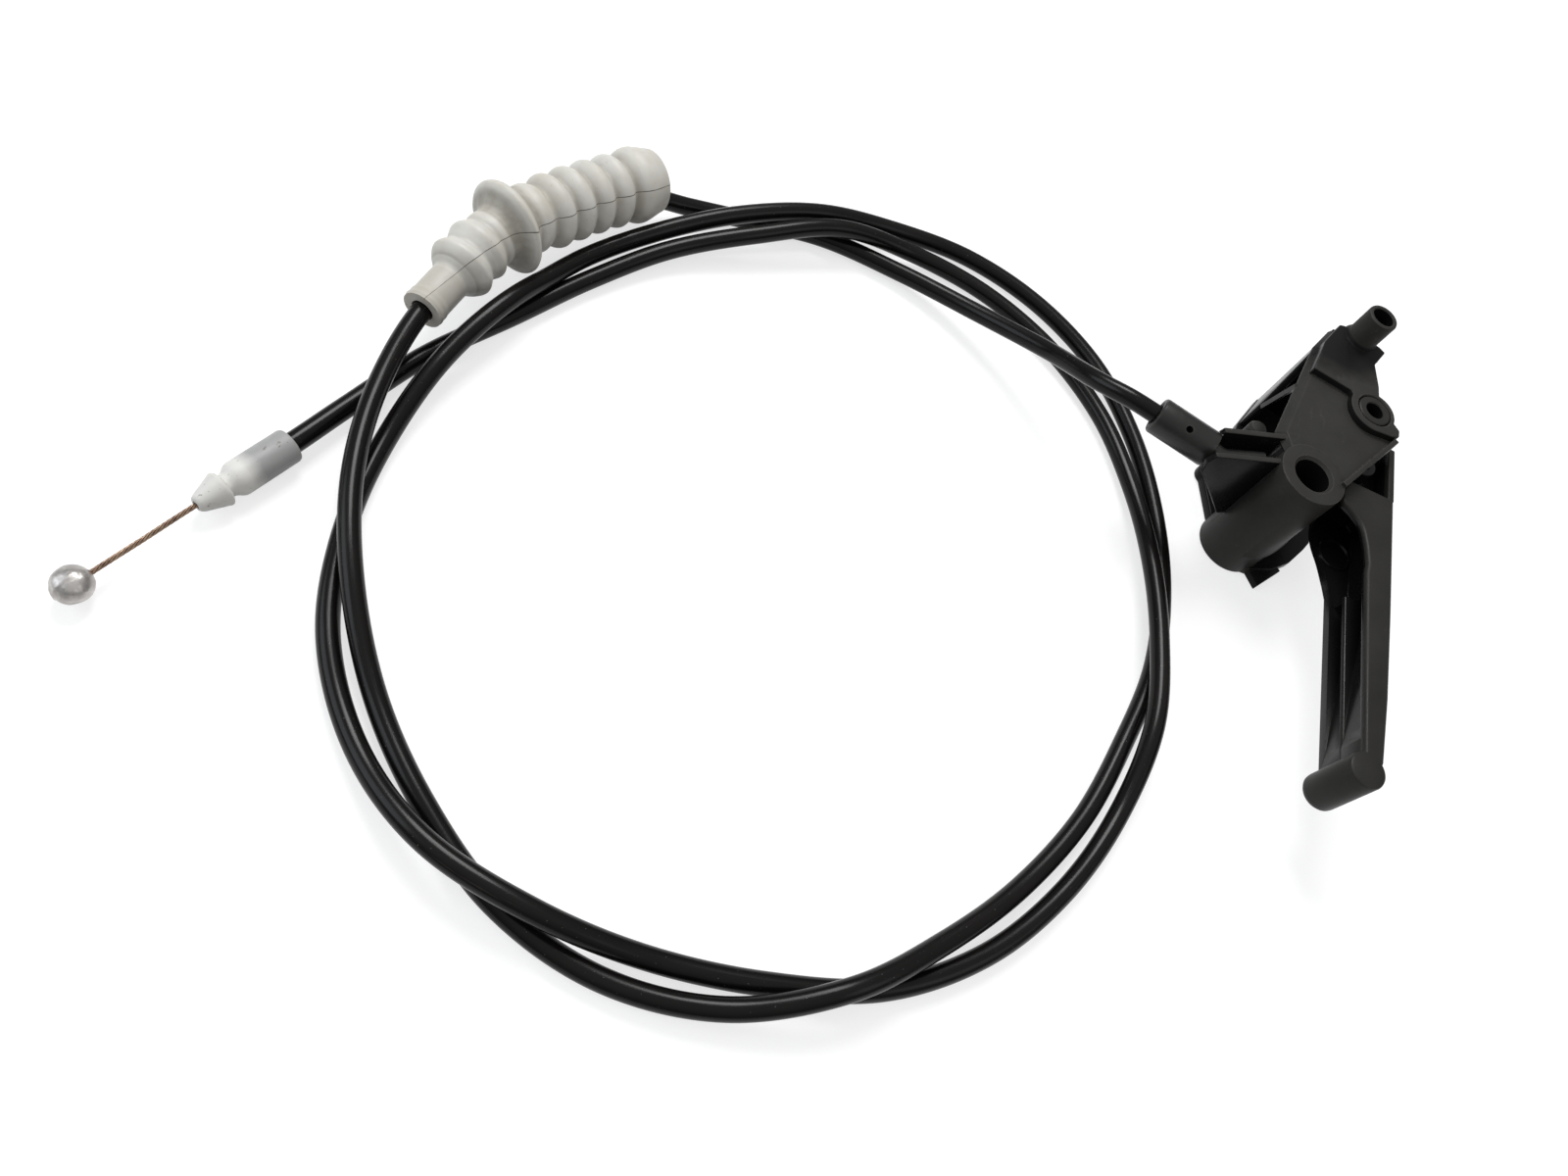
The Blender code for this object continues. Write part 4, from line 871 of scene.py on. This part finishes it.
def blade_front(y):
    """X of the blade's open side at a height down the blade."""
    share = (NECK_Y - y) / (NECK_Y - LIP[1])
    return LEVER_NECK_X + (LEVER_END_X - LEVER_NECK_X) * share


def lever_polish_and_shade(face):
    """How polished a face is and how dark its painted shade: the hollows, the bore and the wire's seat.
    """
    at = face.calc_center_median() - PIVOT
    from_pivot = hypot(at.x, at.y)
    from_seat = hypot(at.x - WIRE_SEAT[0], at.y - WIRE_SEAT[1])
    if from_pivot < HUB_BORE_R + SEAM or from_seat < SEAT_BOSS_R + 0.0004:
        return 1.0
    hollow = at.z < LEVER_TOP_Z - 0.0012 and at.x < LEVER_BACK_X - LEVER_WALL + 0.0002
    on_lip = hypot(at.x - LIP[0], at.y - LIP[1]) < LIP_R + 0.0003
    return 1.0 if hollow and not on_lip and from_pivot > SLEEVE_R + 0.0002 else 0.0


def build_lever():
    end = [(LIP[0] + 0.0020, LIP[1]), (blade_front(LIP[1]), LIP[1] + 0.0010)]
    back = [(LEVER_BACK_X, -0.0600), (LEVER_BACK_X - 0.0003, -0.0850), (LEVER_TIP_X, LIP[1] + 0.0030)]
    open_side = [(blade_front(-0.0500), -0.0500)]
    wall = LEVER_BACK_X - LEVER_WALL
    head = open_side + curved(HEAD_NECK) + HEAD_SIDE
    base = prism(back + end + head + arc(0, 0, SLEEVE_R - SEAM, 150, 20, 12)
                 + [(LEVER_BACK_X, LEVER_BACK_TOP_Y)], LEVER_LOW_Z, RIB_TOP, 0.0005, 3)
    neck = [(blade_front(RECESS_END_Y), RECESS_END_Y), (wall, -0.0560), (wall, LEVER_BACK_TOP_Y),
            (LEVER_BACK_X, LEVER_BACK_TOP_Y)]
    flange = open_side + curved(FLANGE_NECK) + [(-0.0028, STEP_Y), (LEVER_BACK_X, STEP_Y)]
    step = [(-0.0018, STEP_Y), (-0.0026, STEP_Y - LEVER_WALL),
            (wall + 0.0005, STEP_Y - LEVER_WALL), (wall + 0.0005, STEP_Y)]
    floor = ([(-0.0020, -0.0236), (-0.0016, -0.0219), (-0.0040, -0.0140), (-0.0055, -0.0031)]
             + arc(0, 0, SLEEVE_R - SEAM * 2, 150, 20, 12)
             + [(wall + 0.0006, LEVER_BACK_TOP_Y - 0.0002), (wall + 0.0006, STEP_Y - 0.0016)])
    outside = LEVER_BACK_X - SEAM
    tall = [(wall, STEP_Y - 0.0010), (outside, STEP_Y - 0.0010), (outside, LEVER_BACK_TOP_Y - 0.0002),
            (wall, LEVER_BACK_TOP_Y - 0.0002)]
    unions = [
        prism(back + end + neck, RIB_TOP - 0.0006, LEVER_TOP_Z - 0.0013, 0.0004),
        prism(back + end + flange, LEVER_TOP_Z - FLANGE_T, LEVER_TOP_Z, 0.0011, 5),
        prism(step, RIB_TOP - 0.0004, LEVER_TOP_Z - 0.0008, 0.0003),
        prism(floor, RIB_TOP - 0.0005, HEAD_TOP_Z, 0.0004),
        prism(tall, HEAD_TOP_Z - 0.0008, LEVER_TOP_Z - 0.0001, 0.0004),
        post((0, 0), [(HUB_R, 0.0005), (HUB_R, BACK_T + FIT), (SLEEVE_R, BACK_T + FIT + SEAM),
                      (SLEEVE_R, PLATE_BACK_Z - FIT - SEAM), (HUB_R, PLATE_BACK_Z - FIT),
                      (HUB_R, PAD_Z - 0.0005), (HUB_R - 0.0001, PAD_Z - 0.0002),
                      (HUB_R - 0.0004, PAD_Z)], BORE_SIDES),
        post(WIRE_SEAT, [(SEAT_BOSS_R, HEAD_TOP_Z - 0.0007), (SEAT_BOSS_R, LEVER_TOP_Z)], ease=0.0003),
        post(LIP, [(LIP_R * 0.40, LEVER_LOW_Z - 0.0020), (LIP_R * 0.62, LEVER_LOW_Z - 0.0018),
                   (LIP_R * 0.85, LEVER_LOW_Z - 0.0012), (LIP_R * 0.97, LEVER_LOW_Z - 0.0004),
                   (LIP_R, LEVER_LOW_Z + 0.0005), (LIP_R, LEVER_TOP_Z - 0.0007),
                   (LIP_R - 0.0002, LEVER_TOP_Z - 0.0002), (LIP_R - 0.0007, LEVER_TOP_Z + 0.0001)],
             BORE_SIDES),
    ]
    shut = LEVER_LOW_Z + FLANGE_T
    pocket = [(-0.0140, -0.0242), (0.0075, -0.0242), (wall - 0.0001, -0.0262), (wall - 0.0001, -0.0500),
              (0.0078, -0.0530), (0.0030, -0.0535), (-0.0010, -0.0520), (-0.0140, -0.0520)]
    recess = [(-0.0010, RECESS_TOP_Y), (wall, RECESS_TOP_Y - 0.0020), (wall, RECESS_TOP_Y - 0.0080),
              (blade_front(RECESS_END_Y), RECESS_END_Y), (-0.0010, RECESS_END_Y)]
    way = WEB_ANGLE + 180 - PULL_HALF_ANGLE
    slot = (arc(*WIRE_SEAT, SEAT_BOSS_R + 0.0010, way - SLOT_HALF_ANGLE, way + SLOT_HALF_ANGLE, 1)
            + arc(*WIRE_SEAT, SLOT_ROOT, way + 90, way - 90, 1))
    cuts = [
        prism(pocket, shut, LEVER_TOP_Z - FLANGE_T, 0.0006, 3),
        prism(recess, shut, RIB_TOP - RIB_T, 0.0003),
        post(WIRE_SEAT, [(NIPPLE_R + FIT, NIPPLE_Z - FIT), (NIPPLE_R + FIT, LEVER_TOP_Z + 0.001)],
             SMALL_SIDES),
        prism(slot, CORE_Z - WIRE_R - FIT * 3, LEVER_TOP_Z + 0.001, 0.0),
        post((0, 0), [(HUB_BORE_R, -0.001), (HUB_BORE_R, PAD_Z - 0.0003),
                      (HUB_BORE_R + 0.0004, PAD_Z + 0.0002)], SMALL_SIDES),
    ]
    disc = post(SPOT, [(SPOT_R, shut - 0.0004), (SPOT_R, shut + 0.0003), (SPOT_R - 0.0002, shut + 0.0005),
                       (SPOT_R - 0.0005, shut + 0.0005), (SPOT_R - 0.0009, shut + 0.0001)], TURNED_SIDES)
    with_disc = moulded("lever_more", moulded("lever", base, unions, cuts), [disc])
    piece("lever_moulding", with_polish_and_shade(with_disc, lever_polish_and_shade), LEVER_BLACK, "lever", "lever")


# end cap of the conduit in the bracket, and the wire to the lever

def elbow_line():
    """The elbow's middle line: out of the cap, round to the channel and straight along it."""
    c = Vector(in_channel(0, 0)).to_3d() + Vector((0, 0, CORE_Z)) + PIVOT
    cap_end = CAP_MOUTH + CAP_WAY * CAP_LEN
    cross = CAP_WAY.x * WIRE_WAY.y - CAP_WAY.y * WIRE_WAY.x
    gap = c - cap_end
    meet = cap_end + CAP_WAY * ((gap.x * WIRE_WAY.y - gap.y * WIRE_WAY.x) / cross)
    half = acos(CAP_WAY.dot(WIRE_WAY)) / 2
    tangent = NOSE_BEND_R * tan(half)
    start, end = meet - CAP_WAY * tangent, meet + WIRE_WAY * tangent
    middle = start + Vector((-CAP_WAY.y, CAP_WAY.x, 0)) * NOSE_BEND_R
    bend = [middle + Matrix.Rotation(2 * half * i / 12, 3, "Z") @ (start - middle) for i in range(13)]
    return start, bend, end


def build_cap():
    start, bend, end = elbow_line()
    body = [(CAP_R - 0.0009, 0.0), (CAP_R - 0.0004, 0.0001), (CAP_R - 0.0001, 0.0004), (CAP_R, 0.0009),
            (CAP_R, CAP_LEN - 0.0005), (CAP_R - 0.0001, CAP_LEN - 0.0002), (CAP_R - 0.0004, CAP_LEN)]
    base = spun(body, TURNED_SIDES, CAP_MOUTH, CAP_WAY)
    inside = min((start - CAP_MOUTH).length - 0.0004, CAP_LEN - 0.0010)
    tip = end + WIRE_WAY * NOSE_STRAIGHT
    line = [CAP_MOUTH + CAP_WAY * inside] + bend + [tip - WIRE_WAY * 0.0004, tip]
    taper = [NOSE_R + (NECK_R - NOSE_R) * (1 - i / (len(bend) - 1)) ** 1.5 for i in range(len(bend))]
    radii = [NECK_R] + taper + [NOSE_R, NOSE_R - 0.0004]
    bore = [CAP_MOUTH + CAP_WAY * (CAP_SEAT - 0.001)] + bend + [tip + WIRE_WAY * 0.001]
    bore_r = [WIRE_R + FIT] * len(bore)
    hole = CAP_MOUTH + CAP_WAY * CAP_HOLE_AT
    hole_way = Matrix.Rotation(radians(CAP_HOLE_TURN), 3, CAP_WAY) @ Vector((0, 0, 1))
    cuts = [
        spun([(CORD_R + FIT + 0.0012, -0.0005), (CORD_R + FIT, 0.0010), (CORD_R + FIT, CAP_SEAT)],
             SMALL_SIDES, CAP_MOUTH, CAP_WAY),
        pipe(bore, bore_r, 16),
        spun([(CAP_HOLE_R, CORD_R * 0.6), (CAP_HOLE_R, CAP_R - 0.0002),
              (CAP_HOLE_R + 0.0004, CAP_R + 0.0004)], 24, hole, hole_way),
    ]
    cap = moulded("cap", base, [pipe(line, radii, CORD_SIDES)], cuts)
    piece("cap_turning", cap, CAP_BLACK, "bracket", "conduit_cap")


def strand(name, start, end, material, body, node, pitch, kinks=0.0):
    """Laid wire: a core and six outer wires wound round it, between two points."""
    way = (end - start).normalized()
    side = way.cross(Vector((0, 0, 1))).normalized()
    up = side.cross(way)
    total = (end - start).length
    curve = bpy.data.curves.new(name, "CURVE")
    curve.dimensions = "3D"
    count = max(24, round(total / pitch * TURNS_PER_LAY))
    thin = WIRE_R / 3
    for k in range(7):
        spline = curve.splines.new("POLY")
        spline.points.add(count)
        for i, point in enumerate(spline.points):
            s = total * i / count
            a = 2 * pi * s / pitch + k * pi / 3
            out = 0.0 if k == 6 else thin * 2
            stray = kinks * sin(pi * s / total) ** 2 * sin(s * 260 + 0.8)
            at = (start + way * s + side * (out * cos(a) + stray)
                  + up * (out * sin(a) + stray * 0.4))
            point.co = (*at, 1.0)
    curve.bevel_depth = thin
    curve.bevel_resolution = 2
    curve.use_fill_caps = True
    curve.materials.append(material)
    finished(added(name, curve), body, node)


def build_pull_wire():
    end = elbow_line()[-1]
    near = level(in_channel(REST_ALONG - NIPPLE_R - FIT, 0), CORE_Z)
    strand("pull_strand", end + WIRE_WAY * 0.0006, near, STEEL, "pull_wire", "pull_wire", 0.0065)
    ends = [(NIPPLE_R - 0.0006, 0.0), (NIPPLE_R - 0.0002, 0.0001), (NIPPLE_R, 0.0005)]
    barrel = post(WIRE_SEAT, [(r, NIPPLE_Z + h) for r, h in ends]
                  + [(r, NIPPLE_Z + NIPPLE_H - h) for r, h in ends[::-1]], SMALL_SIDES)
    piece("nipple_barrel", barrel, CAST, "lever", "wire_nipple")


# conduit, boot, end and ball

def build_conduit():
    fine = smooth_line(ROUTE_POINTS, 16)
    total = length_of(fine)
    lengths = spread(0.0, total, CORD_RINGS)
    line = at_lengths(fine, lengths)
    radii = [CORD_R] * len(line)
    bm = pipe(line, radii, CORD_SIDES, lengths)
    return piece("conduit_sheath", bm, SHEATH, "bracket", "conduit", 60), line, total


def boot_radius(s):
    """Outer radius of the boot at a length from its collar end."""
    for (a, low), (b, high) in zip(BOOT_PROFILE, BOOT_PROFILE[1:]):
        if s <= b:
            return low + (high - low) * min(max((s - a) / (b - a), 0.0), 1.0)
    return BOOT_PROFILE[-1][1]


def boot_skin(s):
    """The same, rounded over half a millimetre either way."""
    return sum(boot_radius(abs(s + d * 0.0001)) for d in (-5, -3, -1, 1, 3, 5)) / 6


def twisted(places, lengths):
    """The boot's rings turned towards its collar, where the moulding seam climbs to the top."""
    return [place @ Matrix.Rotation(SEAM_CLIMB * max(1 - s / SEAM_CLIMB_LEN, 0.0), 4, "Z")
            for place, s in zip(places, lengths)]


def build_boot():
    fine = smooth_line([placed(*p) for p in BOOT_AXIS], 20)
    total = length_of(fine)
    lengths = spread(0.0, total, BOOT_RINGS)
    radii = [boot_skin(s) for s in lengths]
    inner_lengths = spread(total, 0.0, BOOT_BORE_RINGS)
    inner_radii = [CORD_R + min(FIT + s * 0.2, BOOT_FIT) if s < COLLAR_LEN
                   else max(boot_radius(s) - BOOT_WALL, CORD_R + BOOT_FIT) for s in inner_lengths]
    outer = twisted(stands(at_lengths(fine, lengths), radii), lengths)
    inner = stands(at_lengths(fine, inner_lengths[::-1]), inner_radii[::-1])[::-1]
    inner = twisted(inner, inner_lengths)
    angles = sorted([BOOT_SEAMS[0] + radians(360 / BOOT_SIDES * i) for i in range(BOOT_SIDES)]
                    + [seam + radians(d) for seam in BOOT_SEAMS for d in (-1.6, 1.6)])
    bm = hose(outer + inner, angles, lengths + inner_lengths, radii + inner_radii, closed=True)
    lay = bm.verts.layers.float_vector["lay"]
    groove = bm.verts.layers.float.new("groove")
    line = bm.verts.layers.float.new("seam")
    for vert in bm.verts:
        x, y, s = vert[lay]
        r = hypot(x, y)
        crest = max([boot_radius(s + d) for d in (-0.0030, -0.0015, 0.0, 0.0015, 0.0030) if s + d > 0])
        vert[groove] = min(max((crest - r) / 0.0026, 0.0), 1.0)
        if s < COLLAR_LEN + 0.002:
            vert[groove] *= 0.3
        turn = min(abs(remainder(atan2(y, x) - seam, 2 * pi)) for seam in BOOT_SEAMS)
        vert[line] = 1.0 if turn < 0.01 and r > boot_skin(s) - 0.0002 else 0.0
    piece("boot_bellows", bm, RUBBER, "bracket", "boot", 50)


def build_end():
    rear, way = END_REAR, END_WAY
    stations = [
        (CORD_R + FIT + 0.0003, 0.0), (END_R - 0.0006, 0.0), (END_R - 0.0002, 0.0002), (END_R, 0.0007),
        (END_R, 0.0135), (END_R - 0.0001, 0.0142), (END_R - 0.0004, 0.0148), (END_R - 0.0009, 0.0155),
        (END_NECK_R + 0.0001, 0.0161), (END_NECK_R, 0.0165), (END_NECK_R + 0.0001, 0.0169),
        (END_R - 0.0003, 0.0173), (END_R, 0.0176), (END_R, 0.0180), (END_R - 0.0002, 0.0184),
        (END_TIP_R + 0.0004, END_LEN - 0.0010), (END_TIP_R, END_LEN - 0.0003),
        (END_TIP_R - 0.0004, END_LEN), (WIRE_R + FIT + 0.0001, END_LEN), (WIRE_R + FIT, END_LEN - 0.0003),
        (WIRE_R + FIT, END_SEAT + FIT), (CORD_R + FIT, END_SEAT + FIT), (CORD_R + FIT, 0.0003),
    ]
    bm = spun(stations, TURNED_SIDES, rear, way, hollow=True)
    piece("end_moulding", bm, NYLON, "bracket", "end_fitting", 40)
    centre = rear + way * BALL_AT
    socket = BALL_R * 0.7
    tail = rear + way * (END_LEN - 0.0020)
    tip = centre - way * (socket + FIT)
    strand("far_strand", tail, tip, COPPERY, "cable_end", "far_wire", 0.0075, 0.00004)
    build_ball(centre, way, socket)


def build_ball(centre, way, socket):
    """Cast ball with its flats and a parting line lengthwise."""
    bm = bmesh.new()
    bmesh.ops.create_uvsphere(bm, u_segments=64, v_segments=40, radius=BALL_R)
    lay = bm.verts.layers.float_vector.new("lay")
    for vert in bm.verts:
        p = vert.co.copy()
        vert[lay] = p
        uneven = noise.noise(p * 420.0) * 0.00016 + noise.noise(p * 1300.0) * 0.00005
        vert.co += p.normalized() * (uneven - 0.0001)
        parting = exp(-(p.x / 0.00035) ** 2)
        if abs(p.x) < 0.001:
            vert.co += Vector((0.0, p.y, p.z)).normalized() * parting * 0.00014
        vert.co.z = max(min(vert.co.z, BALL_R * 0.985), -BALL_R * 0.985)
    turn = way.to_track_quat("Z", "Y").to_matrix().to_4x4()
    squash = BALL_H / 2 / BALL_R
    bmesh.ops.transform(bm, matrix=turn, verts=bm.verts)
    bmesh.ops.scale(bm, vec=(1, 1, squash), verts=bm.verts)
    bmesh.ops.translate(bm, vec=centre, verts=bm.verts)
    cuts = [spun([(WIRE_R + FIT, socket), (WIRE_R + FIT, BALL_R - 0.0003),
                  (WIRE_R + FIT + 0.0005, BALL_R + 0.001)], 24, centre, -way)]
    piece("ball_casting", moulded("ball", bm, (), cuts), CAST, "cable_end", "far_ball", 60)


# floor, light and camera

FLOOR_TONE = 0.38
FLOOR_GLOW = 0.68         # seen by the camera and in reflections, so that the floor shows pale
SKY_LOW = 0.10
SKY_TOP = 0.78
MIDDLE = (-0.10, -0.03, 0.0)
LAMPS = (                 # name, place, size, watts, colour
    ("key", (-0.35, 0.55, 0.95), 0.50, 8.5, (1.0, 1.0, 1.0)),
    ("fill", (0.75, -0.35, 0.75), 0.6, 1.0, (1.0, 1.0, 1.0)),
    ("left_fill", (-0.95, -0.25, 0.50), 0.7, 3.4, (0.86, 0.93, 1.0)),
)
CAMERA_AT = (-0.13325, -0.21441, 0.238)
CAMERA_TURN = (28.59, -16.853, 17.8)
LENS = 27.0
SENSOR_W = 36.0


def build_stage():
    bm = bmesh.new()
    bmesh.ops.create_grid(bm, x_segments=1, y_segments=1, size=6.0)
    floor = added("floor", mesh_of(bm, "floor"))
    f = Finish("pale_floor", Base_Color=(FLOOR_TONE, FLOOR_TONE, FLOOR_TONE, 1), Roughness=0.9,
               Specular_IOR_Level=0.0)
    plain = f.shader.outputs[0]
    glow = f.node("Emission", Strength=FLOOR_GLOW).outputs[0]
    both = f.node("AddShader", i0=plain, i1=glow).outputs[0]
    rays = f.node("LightPath").outputs
    seen = f.math("MAXIMUM", rays["Is Camera Ray"], rays["Is Glossy Ray"])
    f.blend(f.math("MAXIMUM", seen, rays["Is Transmission Ray"]), plain, both, "Material Output")
    floor.data.materials.append(f.material)
    floor.location.z = -0.0002


def build_lamp(name, place, size, power, colour):
    data = bpy.data.lights.new(name, "AREA")
    data.shape = "DISK"
    data.size = size
    data.energy = power
    data.color = colour
    obj = added(name, data)
    obj.location = place
    obj.rotation_euler = (Vector(MIDDLE) - Vector(place)).to_track_quat("-Z", "Y").to_euler()


def build_light():
    world = bpy.data.worlds.new("studio")
    world.use_nodes = True
    bpy.context.scene.world = world
    w = Nodes(world.node_tree)
    height = w.axis(w.node("TexCoord").outputs["Generated"], "Z")
    sky = w.node("MapRange", Value=height, To_Min=SKY_LOW, To_Max=SKY_TOP).outputs["Result"]
    ground = w.tree.nodes["Background"]
    ground.inputs["Color"].default_value = (1, 1, 1, 1)
    w.tree.links.new(sky, ground.inputs["Strength"])
    white = w.node("Background", Strength=1.0).outputs[0]
    seen = w.node("LightPath").outputs["Is Camera Ray"]
    w.blend(seen, ground.outputs[0], white, "World Output")
    for settings in LAMPS:
        build_lamp(*settings)


def build_camera():
    data = bpy.data.cameras.new("view")
    data.lens = LENS
    data.sensor_width = SENSOR_W
    camera = added("view", data)
    camera.location = CAMERA_AT
    camera.rotation_euler = [radians(a) for a in CAMERA_TURN]
    bpy.context.scene.camera = camera


build_camera()
build_light()
build_stage()
sheath, sheath_line, sheath_length = build_conduit()
build_boot()
build_end()
build_cap()
build_pull_wire()
build_bracket()
build_lever()

bpy.context.scene.view_settings.view_transform = "Standard"
